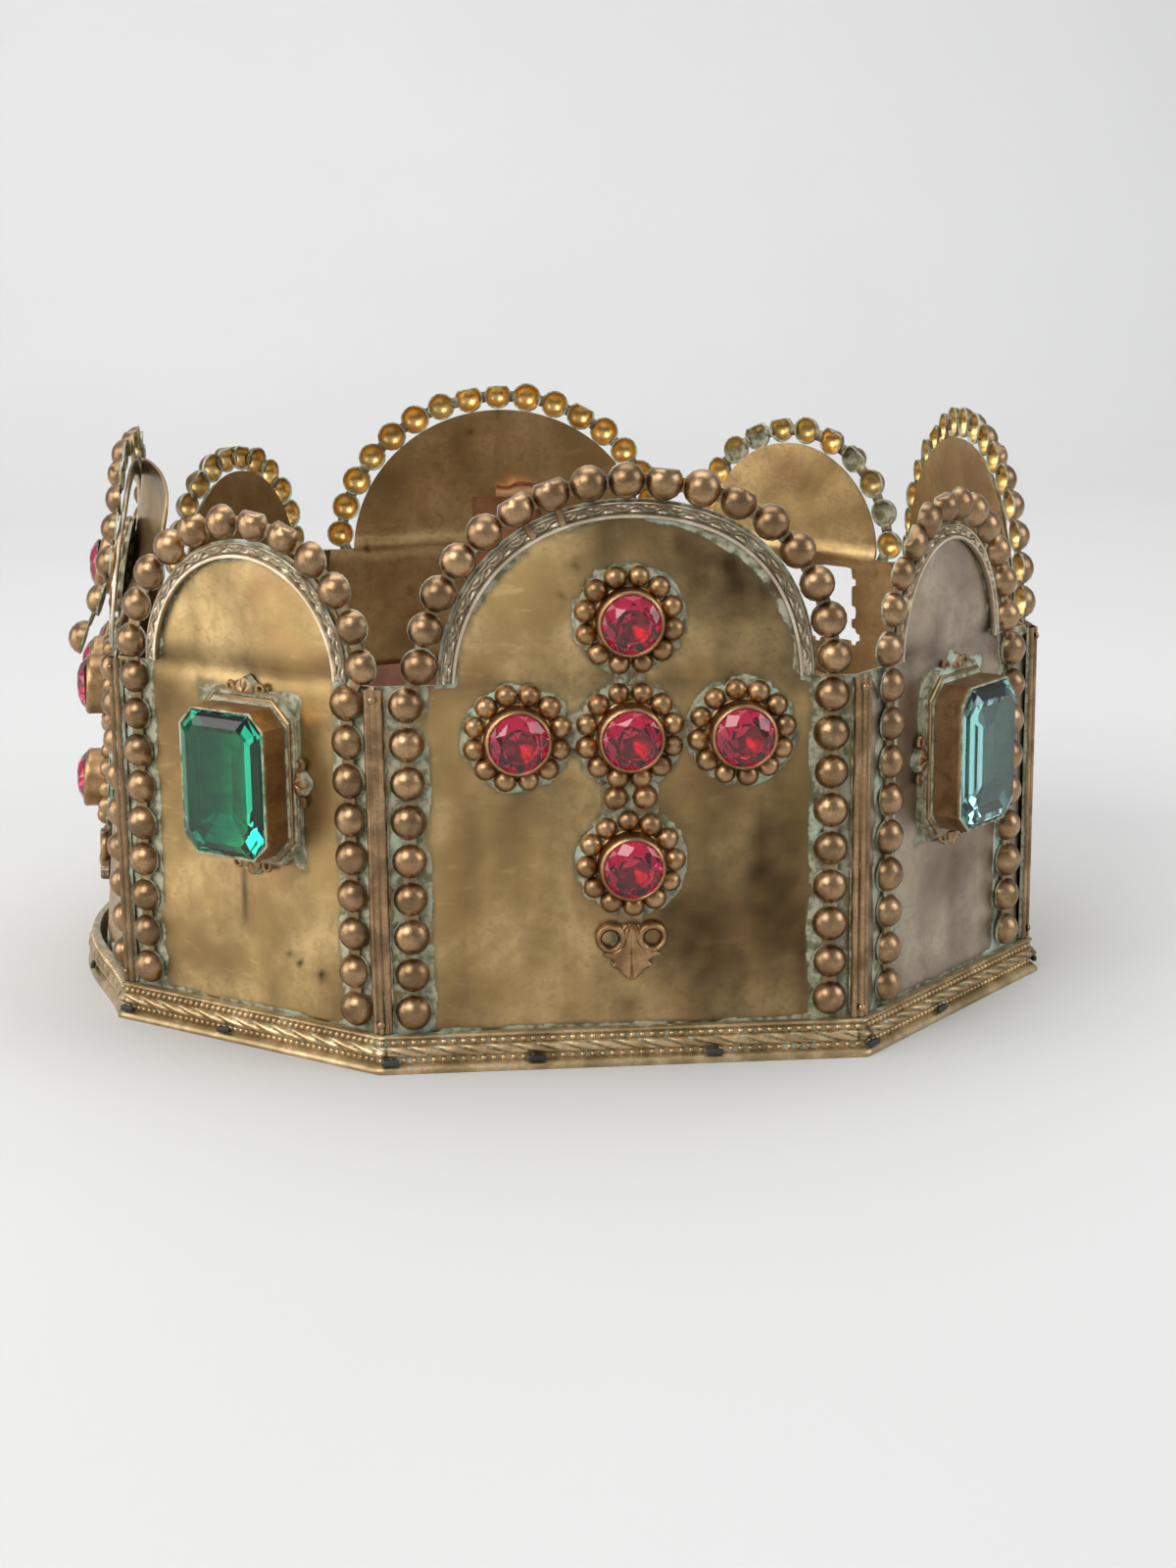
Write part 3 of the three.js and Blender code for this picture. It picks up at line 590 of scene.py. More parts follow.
@dataclass(frozen=True)
class MetalFinish:
    """Aged metal: two tones in blotches, with verdigris where the mesh says that it gathers."""

    name: str
    light: Colour
    dark: Colour
    warm: Colour
    roughness: tuple[float, float] = (0.3, 0.5)
    blotch: float = 28.0

    # Colour of stains and of painted shade
    STAIN_AND_SHADE = (0.05, 0.03, 0.014)
    CORRODED = (0.085, 0.085, 0.035)
    CRUST_SHADE = (0.15, 0.15, 0.08)
    VERDIGRIS = (0.42, 0.4, 0.28)
    MINT = (0.47, 0.58, 0.47)
    UPRIGHT = (1.0, 1.0, 0.1)
    LEVEL = (0.3, 0.3, 1.0)
    SPECKLE_HEIGHT = 0.00004

    def build(self) -> bpy.types.Material:
        """Makes the material.

        Returns:
            The material.
        """
        shader = Shader(self.name)
        surface = shader.surface.inputs
        speckle = shader.noise(self.blotch * 30, 4.0)
        grime = shader.attribute("grime")
        salts = self._salts(shader, grime)
        black = self._black(shader, grime)
        tone = shader.over(self._metal(shader, speckle), self.CORRODED, black, 0.8)
        shader.put(surface["Base Color"], shader.mix(salts, tone, self._crust(shader)))
        dull = shader.math("MAXIMUM", salts, shader.math("MULTIPLY", black, 0.6))
        shader.put(surface["Metallic"], shader.math("SUBTRACT", 1.0, dull))
        low, high = self.roughness
        rough = shader.math("MULTIPLY_ADD", shader.noise(self.blotch * 3, 4.0), high - low)
        rough.node.inputs[2].default_value = low
        matt = shader.math("MULTIPLY", dull, 0.8)
        shader.put(surface["Roughness"], shader.math("MAXIMUM", rough, matt))
        shader.bump(speckle, self.SPECKLE_HEIGHT)
        return shader.material

    def _metal(self, shader: Shader, speckle: bpy.types.NodeSocket) -> bpy.types.NodeSocket:
        """Colours the bare metal, with its blotches, grain, streaks and rubbed places, then darkens it by
        the mesh's layer of stains and painted shade.

        Args:
            shader: The material's shader.
            speckle: Fine noise.

        Returns:
            The colour.
        """
        size = self.blotch
        blotches = shader.span(shader.noise(size, 7.0, 0.6), 0.36, 0.64)
        patches = shader.span(shader.noise(size * 0.8, 6.0, 1.2), 0.5, 0.7)
        grain = shader.span(shader.noise(size * 12, 9.0, 0.6), 0.45, 0.66)
        streaks = shader.span(shader.noise(size * 6, 8.0, 0.3, self.UPRIGHT), 0.5, 0.68)
        rubbed = shader.span(shader.noise(size * 14, 6.0, 0.2, self.LEVEL), 0.6, 0.7)
        tone = shader.mix(blotches, self.dark, self.light)
        tone = shader.over(tone, self.warm, patches, 0.7)
        tone = shader.over(tone, self.dark, shader.span(speckle, 0.5, 0.8), 0.55)
        tone = shader.over(tone, self.dark, grain, 0.42)
        tone = shader.over(tone, self.dark, streaks, 0.34)
        tone = shader.over(tone, self.light, rubbed, 0.3)
        # Darkens by the mesh's layer of stains, painted shade and painted highlight
        return shader.mix(shader.attribute("stain_and_shade"), tone, self.STAIN_AND_SHADE)

    @staticmethod
    def _salts(shader: Shader, grime: bpy.types.NodeSocket) -> bpy.types.NodeSocket:
        """Finds where the grime has grown into a pale crust.

        Args:
            shader: The material's shader.
            grime: The grime that the mesh holds.

        Returns:
            1 in the crust and 0 elsewhere.
        """
        coarse = shader.math("MULTIPLY", shader.noise(150.0, 6.0, 0.5), 0.6)
        flecks = shader.math("MULTIPLY", shader.noise(900.0, 4.0), 0.35)
        spread = shader.math("ADD", grime, shader.math("ADD", coarse, flecks))
        return shader.span(spread, 1.06, 1.24)

    @staticmethod
    def _black(shader: Shader, grime: bpy.types.NodeSocket) -> bpy.types.NodeSocket:
        """Finds where the metal round the crust has blackened.

        Args:
            shader: The material's shader.
            grime: The grime that the mesh holds.

        Returns:
            1 where it is blackest and 0 on clean metal.
        """
        cloud = shader.math("MULTIPLY", shader.noise(260.0, 4.0), 0.5)
        return shader.span(shader.math("ADD", grime, cloud), 0.5, 1.15)

    def _crust(self, shader: Shader) -> bpy.types.NodeSocket:
        """Colours the crust.

        Args:
            shader: The material's shader.

        Returns:
            The colour.
        """
        olive = shader.span(shader.noise(420.0, 5.0), 0.36, 0.6)
        crust = shader.mix(olive, self.CRUST_SHADE, self.VERDIGRIS)
        return shader.mix(shader.span(shader.noise(70.0), 0.54, 0.68), crust, self.MINT)


@dataclass(frozen=True)
class GlassFinish:
    """Clear coloured glass."""

    name: str
    colour: Colour
    bend: float = 1.52
    roughness: float = 0.0

    def build(self) -> bpy.types.Material:
        """Makes the material.

        Returns:
            The material.
        """
        shader = Shader(self.name)
        shader.put(shader.surface.inputs["Base Color"], self.colour)
        shader.put(shader.surface.inputs["Roughness"], self.roughness)
        shader.put(shader.surface.inputs["IOR"], self.bend)
        shader.put(shader.surface.inputs["Transmission Weight"], 1.0)
        return shader.material


@dataclass(frozen=True)
class PlainFinish:
    """Matt stuff in two tones, such as leather or a floor."""

    name: str
    light: Colour
    dark: Colour
    roughness: float = 0.8
    scale: float = 60.0
    relief: float = 0.0002

    def build(self) -> bpy.types.Material:
        """Makes the material.

        Returns:
            The material.
        """
        shader = Shader(self.name)
        cloud = shader.noise(self.scale, 6.0, 0.4)
        shader.put(
            shader.surface.inputs["Base Color"],
            shader.mix(shader.span(cloud, 0.35, 0.65), self.dark, self.light),
        )
        shader.put(shader.surface.inputs["Roughness"], self.roughness)
        shader.bump(cloud, self.relief)
        return shader.material


class Palette:
    """Every finish of the crown."""

    def __init__(self) -> None:
        """Makes the materials."""
        self.sheet = MetalFinish(
            "aged sheet brass", (0.93, 0.66, 0.31), (0.52, 0.345, 0.14), (0.6, 0.33, 0.15), (0.28, 0.44)
        ).build()
        # Front right sheet: brass greyed by a painted reflection of the pale surroundings
        self.sheet_with_painted_reflection = MetalFinish(
            "sheet brass greyed by painted reflection", (0.68, 0.57, 0.44), (0.42, 0.34, 0.26), (0.46, 0.33, 0.22), (0.34, 0.46)
        ).build()
        self.bead = MetalFinish(
            "copper-brown beads", (0.45, 0.29, 0.155), (0.2, 0.125, 0.065), (0.33, 0.185, 0.09),
            (0.22, 0.36), 120.0,
        ).build()
        self.bead_inside = MetalFinish(
            "golden bead insides", (1.0, 0.72, 0.27), (0.75, 0.46, 0.14), (0.9, 0.56, 0.2),
            (0.24, 0.4), 90.0,
        ).build()
        self.band = MetalFinish(
            "pale engraved band", (0.84, 0.74, 0.58), (0.56, 0.46, 0.33), (0.62, 0.48, 0.34),
            (0.3, 0.45), 120.0,
        ).build()
        self.trim = MetalFinish(
            "rubbed trim brass", (0.78, 0.58, 0.33), (0.4, 0.27, 0.13), (0.48, 0.3, 0.15),
            (0.26, 0.4), 120.0,
        ).build()
        self.setting = MetalFinish(
            "copper-brown settings", (0.48, 0.3, 0.15), (0.24, 0.14, 0.065), (0.38, 0.2, 0.09),
            (0.26, 0.42), 120.0,
        ).build()
        self.copper = MetalFinish(
            "bare copper", (0.86, 0.5, 0.3), (0.62, 0.33, 0.18), (0.8, 0.42, 0.22), (0.24, 0.4), 90.0
        ).build()
        self.foil = MetalFinish(
            "foil behind the stones", (0.72, 0.69, 0.64), (0.4, 0.38, 0.35), (0.6, 0.55, 0.5),
            (0.1, 0.25), 260.0,
        ).build()
        self.ruby = GlassFinish("crimson glass", (0.54, 0.009, 0.05), 1.6).build()
        self.emerald = GlassFinish("emerald glass", (0.015, 0.72, 0.38), 1.56).build()
        self.aqua = GlassFinish("worn green glass", (0.36, 0.86, 0.83), 1.6, 0.06).build()
        self.leather = PlainFinish(
            "head band leather", (0.3, 0.135, 0.085), (0.2, 0.087, 0.052)
        ).build()
        self.fastener = PlainFinish(
            "blackened wire", (0.03, 0.035, 0.03), (0.008, 0.01, 0.008), 0.5
        ).build()


@dataclass
class Piece:
    """A shown piece while it is built, in millimetres."""

    name: str
    nodes: Sequence[str]
    slot: str
    finishes: Sequence[bpy.types.Material]
    crease: float = 38.0
    bm: bmesh.types.BMesh = field(default_factory=bmesh.new)

    def __post_init__(self) -> None:
        """Adds the layers that the finishes read."""
        self.grime = self.bm.verts.layers.float.new("grime")
        # Layer of stains and of painted shade and highlight
        self.stain_and_shade = self.bm.verts.layers.float.new("stain_and_shade")

    def added(self, before: int) -> list[bmesh.types.BMVert]:
        """Vertices that were added since a count was taken.

        Args:
            before: Number of vertices then.

        Returns:
            The newer vertices.
        """
        self.bm.verts.ensure_lookup_table()
        return self.bm.verts[before:]

    def surface(
        self, columns: int, rows: int, place: Place, dirt: Place | None = None, slot: int = 0
    ) -> list[bmesh.types.BMVert]:
        """Adds a grid whose points are placed by a function, and closes its seams.

        Args:
            columns: Number of faces along the grid.
            rows: Number of faces across it.
            place: Gives the place for two shares between 0 and 1.
            dirt: Gives the grime for the same shares.
            slot: Index of the finish.

        Returns:
            The grid's vertices.
        """
        sheet = bmesh.new()
        bmesh.ops.create_grid(sheet, x_segments=columns, y_segments=rows, size=0.5)
        grime = sheet.verts.layers.float.new("grime")
        for vert in sheet.verts:
            s, t = vert.co.x + 0.5, vert.co.y + 0.5
            vert.co = place(s, t)
            vert[grime] = dirt(s, t) if dirt else 0.0
        for face in sheet.faces:
            face.material_index = slot
        bmesh.ops.remove_doubles(sheet, verts=sheet.verts, dist=0.003)
        values = [vert[grime] for vert in sheet.verts]
        mesh = keep_shape(sheet, "surface")
        before = len(self.bm.verts)
        self.bm.from_mesh(mesh)
        bpy.data.meshes.remove(mesh)
        verts = self.added(before)
        for vert, value in zip(verts, values):
            vert[self.grime] = value
        return verts

    def close(self, verts: Iterable[bmesh.types.BMVert]) -> None:
        """Fills the open ends among some vertices.

        Args:
            verts: The vertices.
        """
        edges = {edge for vert in verts for edge in vert.link_edges if edge.is_boundary}
        bmesh.ops.holes_fill(self.bm, edges=list(edges), sides=0)

    def stamp(self, shape: bpy.types.Mesh, place: Matrix, dirt: Callable[[Vector], float]) -> None:
        """Adds a copy of a ready shape.

        Args:
            shape: The shape, in millimetres.
            place: Where it goes.
            dirt: Gives the grime for a point of the shape.
        """
        before = len(self.bm.verts)
        self.bm.from_mesh(shape)
        for vert in self.added(before):
            vert[self.grime] = dirt(vert.co)
            vert.co = place @ vert.co

    def follow(self, side: Side) -> None:
        """Lays the piece on a bent wall.

        Args:
            side: The side that it is on.
        """
        for vert in self.bm.verts:
            vert.co.z += side.wall(vert.co.x, vert.co.y)

    def show(self, place: Matrix) -> bpy.types.Object:
        """Turns the piece into an object of the scene.

        Args:
            place: Turns the piece's millimetres into the frame's metres.

        Returns:
            The object.
        """
        bmesh.ops.transform(self.bm, matrix=place, verts=self.bm.verts)
        bmesh.ops.recalc_face_normals(self.bm, faces=self.bm.faces)
        limit = math.radians(self.crease)
        for face in self.bm.faces:
            face.smooth = True
        for edge in self.bm.edges:
            edge.smooth = edge.calc_face_angle(0.0) < limit
        mesh = bpy.data.meshes.new(self.name)
        self.bm.to_mesh(mesh)
        self.bm.free()
        for finish in self.finishes:
            mesh.materials.append(finish)
        shown = bpy.data.objects.new(self.name, mesh)
        bpy.context.scene.collection.objects.link(shown)
        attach(shown, "root")
        if self.nodes:
            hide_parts(*self.nodes)
        return shown


def keep_shape(bm: bmesh.types.BMesh, name: str) -> bpy.types.Mesh:
    """Stores a shape that is stamped many times.

    Args:
        bm: The shape.
        name: Name of its mesh.

    Returns:
        The mesh.
    """
    bmesh.ops.recalc_face_normals(bm, faces=bm.faces)
    mesh = bpy.data.meshes.new(name)
    bm.to_mesh(mesh)
    bm.free()
    return mesh


def half_bead(
    name: str, radius: float, height: float, segments: int, rings: int, wall: float
) -> bpy.types.Mesh:
    """Makes a half-round bead that stands on the XY plane.

    Args:
        name: Name of the mesh.
        radius: Radius of its foot.
        height: Its height.
        segments: Faces round it.
        rings: Faces from foot to crown.
        wall: Thickness of its shell, or 0 for a bead whose inside isn't seen.

    Returns:
        The mesh.
    """
    bm = bmesh.new()
    bmesh.ops.create_uvsphere(bm, u_segments=segments, v_segments=2 * rings, radius=1.0)
    everything = bm.verts[:] + bm.edges[:] + bm.faces[:]
    bmesh.ops.bisect_plane(
        bm, geom=everything, plane_co=(0, 0, 0), plane_no=(0, 0, 1), clear_inner=True, dist=1e-4
    )
    bmesh.ops.scale(bm, vec=(radius, radius, height), verts=bm.verts)
    if wall:
        shell = bmesh.ops.extrude_face_region(bm, geom=bm.faces[:], use_keep_orig=True)["geom"]
        shrink = 1 - wall / radius
        inner = [g for g in shell if isinstance(g, bmesh.types.BMVert)]
        bmesh.ops.scale(bm, vec=(shrink, shrink, shrink), verts=inner)
        for face in (g for g in shell if isinstance(g, bmesh.types.BMFace)):
            face.material_index = 1
    return keep_shape(bm, name)


def bead_reach(co: Vector) -> float:
    """How far out a point of a border bead lies.

    Args:
        co: The point in the bead's own millimetres.

    Returns:
        1 on the bead's outside, less within its shell.
    """
    return Vector((co.x / BEAD_RADIUS, co.y / BEAD_RADIUS, co.z / BEAD_HEIGHT)).length


class Shapes:
    """Small shapes that are used many times."""

    def __init__(self) -> None:
        """Makes the shapes."""
        self.open_bead = half_bead("open bead", BEAD_RADIUS, BEAD_HEIGHT, 16, 4, BEAD_WALL)
        self.bead = half_bead("bead", BEAD_RADIUS, BEAD_HEIGHT, 16, 4, 0)
        self.clipped_bead = self._clipped()
        self.ring_bead = half_bead("ring bead", 2.85, 2.8, 12, 3, 0)
        self.trim_bead = half_bead("trim bead", 0.8, 0.85, 6, 2, 0)
        self.nail = half_bead("nail", 1.0, 0.7, 8, 2, 0)
        self.block = self._block()

    @staticmethod
    def _clipped() -> bpy.types.Mesh:
        """Makes an open bead that is pressed flat on its outer side.

        Returns:
            The mesh.
        """
        bm = bmesh.new()
        whole = half_bead("whole bead", BEAD_RADIUS, BEAD_HEIGHT, 16, 4, BEAD_WALL)
        bm.from_mesh(whole)
        bpy.data.meshes.remove(whole)
        for vert in bm.verts:
            outside = bead_reach(vert.co) > BEAD_OUTSIDE
            limit = BEAD_CLIP if outside else BEAD_CLIP - BEAD_WALL
            vert.co.y = max(vert.co.y, -limit)
        return keep_shape(bm, "clipped bead")

    @staticmethod
    def _block() -> bpy.types.Mesh:
        """Makes a small block with bevelled edges, 1 mm each way, that stands on the XY plane.

        Returns:
            The mesh.
        """
        bm = bmesh.new()
        bmesh.ops.create_cube(bm, size=1.0)
        bmesh.ops.bevel(
            bm, geom=bm.edges[:], offset=0.16, segments=1, profile=0.5, affect="EDGES", material=-1
        )
        bmesh.ops.translate(bm, vec=(0, 0, 0.5), verts=bm.verts)
        return keep_shape(bm, "block")


@dataclass(frozen=True)
class Kit:
    """What every builder needs: finishes, shapes and the place of the octagon."""

    palette: Palette
    shapes: Shapes
    place: Matrix


@dataclass
class Panel:
    """Sheet brass panel with its lunette, dents, stains, painted shade and highlight, and holes."""

    kit: Kit
    side: Side

    # How dark each sheet is outside; inside, the darkness is painted shade and light for how each side's
    # inner face is lit
    TONE = {"front": 0.47, "front_left": 0.45, "front_right": 0.42}
    OTHER_TONE = 0.4
    INNER_PAINTED_SHADE = {"back": 0.35, "back_right": 0.04, "right": 0.25, "back_left": 0.66, "left": 0.96}
    # Small spots are stains. The broad blobs on the front and front right are painted highlight (darkness
    # under 0) and painted shade; those on the front left are darker and lighter places. Each: distance
    # along the side, height, radius and darkness
    STAINS_AND_PAINTED_LIGHT = {
        "front": (
            (-26, 118, 17, -0.5), (-46, 84, 16, -0.2), (32, 30, 34, 0.4), (30, 118, 20, 0.36),
            (0, 132, 13, 0.3), (48, 60, 14, 0.2), (-10.4, 122, 1.4, 0.5), (-13.6, 115, 1.1, 0.45),
            (2.3, 14, 4, 0.3), (10, 104, 12, -0.16),
        ),
        "front_left": (
            (22, 20.5, 1.5, 0.7), (15, 22.5, 1.2, 0.7), (12.5, 24, 1.0, 0.7), (24, 60, 7, 0.2),
            (-10, 40, 20, -0.08), (-26, 88, 9, 0.2),
        ),
        "front_right": ((0, 104, 22, -0.16), (3, 36, 8, 0.3), (-18, 80, 14, 0.14)),
        "back": (
            (45.4, 94.6, 1.1, 0.7), (31.1, 79.7, 0.9, 0.7), (11.7, 129.7, 0.9, 0.7), (2.5, 136.3, 0.9, 0.7),
        ),
    }
    LUNETTE_POINTS = 60
    # Left, right, lower and upper edge of the torn hole, and of the sheet whose rim is ragged
    TORN = (-26.2, 12.5, 68.5, 90.0)
    TORN_RIM = (-30.0, 18.0, 60.0, 91.0)
    # Distance along the side, height and radius
    NAIL_HOLES = ((-28.1, 69.2, 1.3), (-26.8, 76.9, 1.2))
    DRIP = 0.3
    SOIL = 0.66
    SOIL_REACH = 0.8
    HALO = 0.24
    HALO_REACH = 3.5
    SHOULDER_FOOT = 92.3
    SHOULDER_SOIL = 0.85

    def build(self) -> None:
        """Builds and shows the panel."""
        side = self.side
        # The front right sheet is greyed: a painted reflection of the pale surroundings
        sheet = self.kit.palette.sheet_with_painted_reflection if side.name == "front_right" else self.kit.palette.sheet
        piece = Piece(f"panel_{side.name}_look", [f"panel_{side.name}"], "sheet_brass", [sheet])
        feet = [side.arch_point(self._lunette_radius, WALL_TOP, share).x for share in (0, 1)]
        self._plate(piece, self._wall_outline, 4)
        self._plate(piece, self._lunette_outline, self.LUNETTE_POINTS)
        self._cut(piece, feet)
        bmesh.ops.remove_doubles(piece.bm, verts=piece.bm.verts, dist=0.01)
        self._open_holes(piece)
        self._shape(piece)
        piece.show(self.kit.place @ side.matrix())

    @property
    def _lunette_radius(self) -> float:
        """Radius of the sheet's arch."""
        return self.side.arch.beads - SHEET_INSET

    @property
    def _half(self) -> float:
        """Half the sheet's length."""
        return self.side.length / 2 - 0.5

    def _wall_outline(self, share: float) -> Point:
        """Outline of the wall below the lunette.

        Args:
            share: How far round the outline, from 0 to 1.

        Returns:
            The point.
        """
        corners = [(-1, SHEET_FOOT), (1, SHEET_FOOT), (1, WALL_TOP), (-1, WALL_TOP)]
        u, height = corners[round(share * 4) % 4]
        return (u * self._half, height, 0.0)

    def _lunette_outline(self, share: float) -> Point:
        """Outline of the lunette.

        Args:
            share: How far round the outline, from 0 to 1.

        Returns:
            The point.
        """
        count = self.LUNETTE_POINTS
        along = round(share * count) / (count - 1)
        point = self.side.arch_point(self._lunette_radius, WALL_TOP, along)
        return (point.x, point.y, 0.0)

    @staticmethod
    def _plate(piece: Piece, outline: Callable[[float], Point], count: int) -> None:
        """Adds one flat face with an outline.

        Args:
            piece: The panel's piece.
            outline: Gives the outline's points.
            count: Number of points.
        """
        before = len(piece.bm.verts)
        bmesh.ops.create_circle(piece.bm, cap_ends=True, segments=count, radius=1.0)
        for i, vert in enumerate(piece.added(before)):
            vert.co = outline(i / count)

    def _cut(self, piece: Piece, extra: Sequence[float]) -> None:
        """Cuts the flat faces into a fine grid.

        Args:
            piece: The panel's piece.
            extra: Further places along the side to cut at.
        """
        top = self.side.arch_centre + self._lunette_radius
        across = [*extra, *self._steps(-self._half, self._half)]
        if self.side.window:
            across += [-WINDOW_HALF_WIDE, WINDOW_HALF_WIDE]
        upward = [*self._steps(SHEET_FOOT, WALL_TOP), *self._steps(WALL_TOP, top)]
        for normal, places in (((1, 0, 0), across), ((0, 1, 0), upward)):
            for place in places:
                everything = piece.bm.verts[:] + piece.bm.edges[:] + piece.bm.faces[:]
                at = [place * axis for axis in normal]
                bmesh.ops.bisect_plane(piece.bm, geom=everything, plane_co=at, plane_no=normal, dist=0.02)

    @staticmethod
    def _steps(low: float, high: float) -> list[float]:
        """Even places between two ends, about one pitch apart.

        Args:
            low: The first end.
            high: The last end.

        Returns:
            The places between them.
        """
        count = round((high - low) / PANEL_PITCH)
        return [low + (high - low) * i / count for i in range(1, count)]

    def _open_holes(self, piece: Piece) -> None:
        """Removes the faces of a window or a torn hole.

        Args:
            piece: The panel's piece.
        """
        lost = [face for face in piece.bm.faces if self._in_hole(*face.calc_center_median().xy)]
        bmesh.ops.delete(piece.bm, geom=lost, context="FACES")
        if self.side.torn:
            left, right, low, high = self.TORN_RIM
            rim = [
                vert for vert in piece.bm.verts
                if vert.is_boundary and left < vert.co.x < right and low < vert.co.y < high
            ]
            bmesh.ops.smooth_vert(piece.bm, verts=rim, factor=0.5, use_axis_x=True, use_axis_y=True)

    def _in_hole(self, u: float, height: float) -> bool:
        """Says whether a point lies in a hole.

        Args:
            u: Distance along the side.
            height: Height above the foot.

        Returns:
            True in a hole.
        """
        if self.side.window:
            beside, above = abs(u), abs(height - BACK_BLOCK_CENTRE)
            return beside < WINDOW_HALF_WIDE and above < WINDOW_HALF_TALL
        if not self.side.torn:
            return False
        ragged = 2.6 * wander(u, height, 3.0, 5.0)
        for x, y, radius in self.NAIL_HOLES:
            if math.hypot(u - x, height - y) < radius:
                return True
        left, right, low, high = self.TORN
        level = low + ragged < height < high + ragged * 0.3
        return level and left + ragged < u < right + ragged

    def _shape(self, piece: Piece) -> None:
        """Dents the sheet and marks its dirt, stains and painted shade and highlight, then gives it
        thickness.

        Args:
            piece: The panel's piece.
        """
        side = self.side
        for vert in piece.bm.verts:
            u, height = vert.co.x, vert.co.y
            vert[piece.grime] = self._dirt(u, height)
            vert[piece.stain_and_shade] = self._stains_and_painted_light(u, height)
            vert.co.z = side.wall(u, height) + self._push(u, height) - self._dent(u, height)
        self._thicken(piece)

    def _thicken(self, piece: Piece) -> None:
        """Gives the sheet its inner face, with painted shade and light for how that face is lit, and stains
        of its own.

        Args:
            piece: The panel's piece.
        """
        side = self.side
        faces = piece.bm.faces[:]
        shell = bmesh.ops.extrude_face_region(piece.bm, geom=faces, use_keep_orig=True)["geom"]
        inner = [g for g in shell if isinstance(g, bmesh.types.BMVert)]
        bmesh.ops.translate(piece.bm, vec=(0, 0, -SHEET), verts=inner)
        # Painted shade and light: how dark this side's inner face is, for how it is lit
        tone = self.INNER_PAINTED_SHADE.get(side.name, self.OTHER_TONE)
        spots = self.STAINS_AND_PAINTED_LIGHT["back"] if side.window else ()
        for vert in inner:
            u, height = vert.co.x, vert.co.y
            dark = tone + 0.14 * wander(u, height, side.seed + 130, 24.0)
            dark += 0.08 * wander(u, height, side.seed, 8.0)
            dark += sum(d * bell(math.hypot(u - x, height - y), r) for x, y, r, d in spots)
            vert[piece.grime] *= 0.3
            vert[piece.stain_and_shade] = min(1.0, max(0.0, dark))

    def _push(self, u: float, height: float) -> float:
        """How far the left lunette is pushed in on one side.

        Args:
            u: Distance along the side.
            height: Height above the foot.

        Returns:
            The offset in millimetres.
        """
        if not self.side.bent:
            return 0.0
        return -LEFT_PUSH * smooth((u + 8) / 36) * smooth((height - WALL_TOP - 4) / 20)

    def _dent(self, u: float, height: float) -> float:
        """How far the sheet is beaten in.

        Args:
            u: Distance along the side.
            height: Height above the foot.

        Returns:
            A depth in millimetres, never under 0.
        """
        seed = self.side.seed
        broad = 0.55 * (0.5 + wander(u, height, seed, 24.0))
        fine = 0.14 * (0.5 + wander(u, height, seed + 40, 9.0))
        crease = 0.75 * bell(height - WALL_TOP - 0.5 + 1.6 * wander(u, 0, seed, 20.0), 2.4)
        dish = 0.8 * bell(u - 18, 16) * bell(height - 118, 9) if self.side.name == "front" else 0.0
        return max(0.0, broad + fine + crease + dish)

    def _dirt(self, u: float, height: float) -> float:
        """How much verdigris gathers, by the distance to what is soldered on.

        Args:
            u: Distance along the side.
            height: Height above the foot.

        Returns:
            0 on the open sheet and 1 at a seam.
        """
        side = self.side
        closest = max(0.0, min(self._seams(u, height)))
        patch = self.SOIL + 0.5 * wander(u, height, side.seed + 11, 9.0)
        patch += 0.35 * wander(u, height, side.seed, 3.5)
        beside = abs(u - side.arch_shift) > side.arch_squeeze * side.arch.beads
        shoulder = beside and height > self.SHOULDER_FOOT and side.name in ("front", "front_right")
        rim = self.SHOULDER_SOIL if shoulder else 0.0
        if side.bent and height > WALL_TOP:
            patch *= 0.3
        soil = max(rim, patch * math.exp(-closest / self.SOIL_REACH))
        return soil + self.HALO * math.exp(-closest / self.HALO_REACH)

    def _seams(self, u: float, height: float) -> list[float]:
        """Distances to what is soldered on.

        Args:
            u: Distance along the side.
            height: Height above the foot.

        Returns:
            One distance for each thing, under 0 where it covers the sheet.
        """
        side = self.side
        near = [height - TRIM_TOP]
        near += [abs(u - side.column(sign)[0].x) - BEAD_SEAT for sign in (-1, 1)]
        if height > WALL_TOP:
            ring = math.hypot((u - side.arch_shift) / side.arch_squeeze, height - side.arch_centre)
            near.append(side.arch.beads - BAND_INSET - BAND_WIDTH - ring)
        if side.gems is Gems.CROSS:
            near += [math.hypot(u - x, height - y) - RING_OUT for x, y in side.cross_places().values()]
            middle = CROSS_CENTRE - CROSS_DOWN - RING_OUT - LEAF_TALL
            leaf = math.hypot((u - side.gem_shift) / LEAF_WIDE, (height - middle) / LEAF_TALL)
            near.append((leaf - 1) * LEAF_WIDE)
        if side.gems is Gems.BLOCK and not side.window:
            beside = abs(u - side.gem_shift) - PLATE_HALF_WIDE
            above = abs(height - side.block_centre) - PLATE_HALF_TALL
            near.append(max(beside, above))
        return near

    def _stains_and_painted_light(self, u: float, height: float) -> float:
        """How dark the sheet is: stains, with painted shade and painted highlight.

        Args:
            u: Distance along the side.
            height: Height above the foot.

        Returns:
            0 for clean metal and the brightest painted highlight, and 1 for the darkest stains and shade.
        """
        side = self.side
        dark = self.TONE.get(side.name, self.OTHER_TONE)
        dark += 0.16 * wander(u, height, side.seed + 70, 26.0)
        dark += 0.22 * wander(u, height * self.DRIP, side.seed + 90, 7.0)
        dark += 0.1 * wander(u, height, side.seed + 110, 4.0)
        # Painted shade: a darker band just above the crease at the wall's top
        dark += 0.16 * bell(height - WALL_TOP - 2, 4) * (1 + wander(u, 0, side.seed, 12.0))
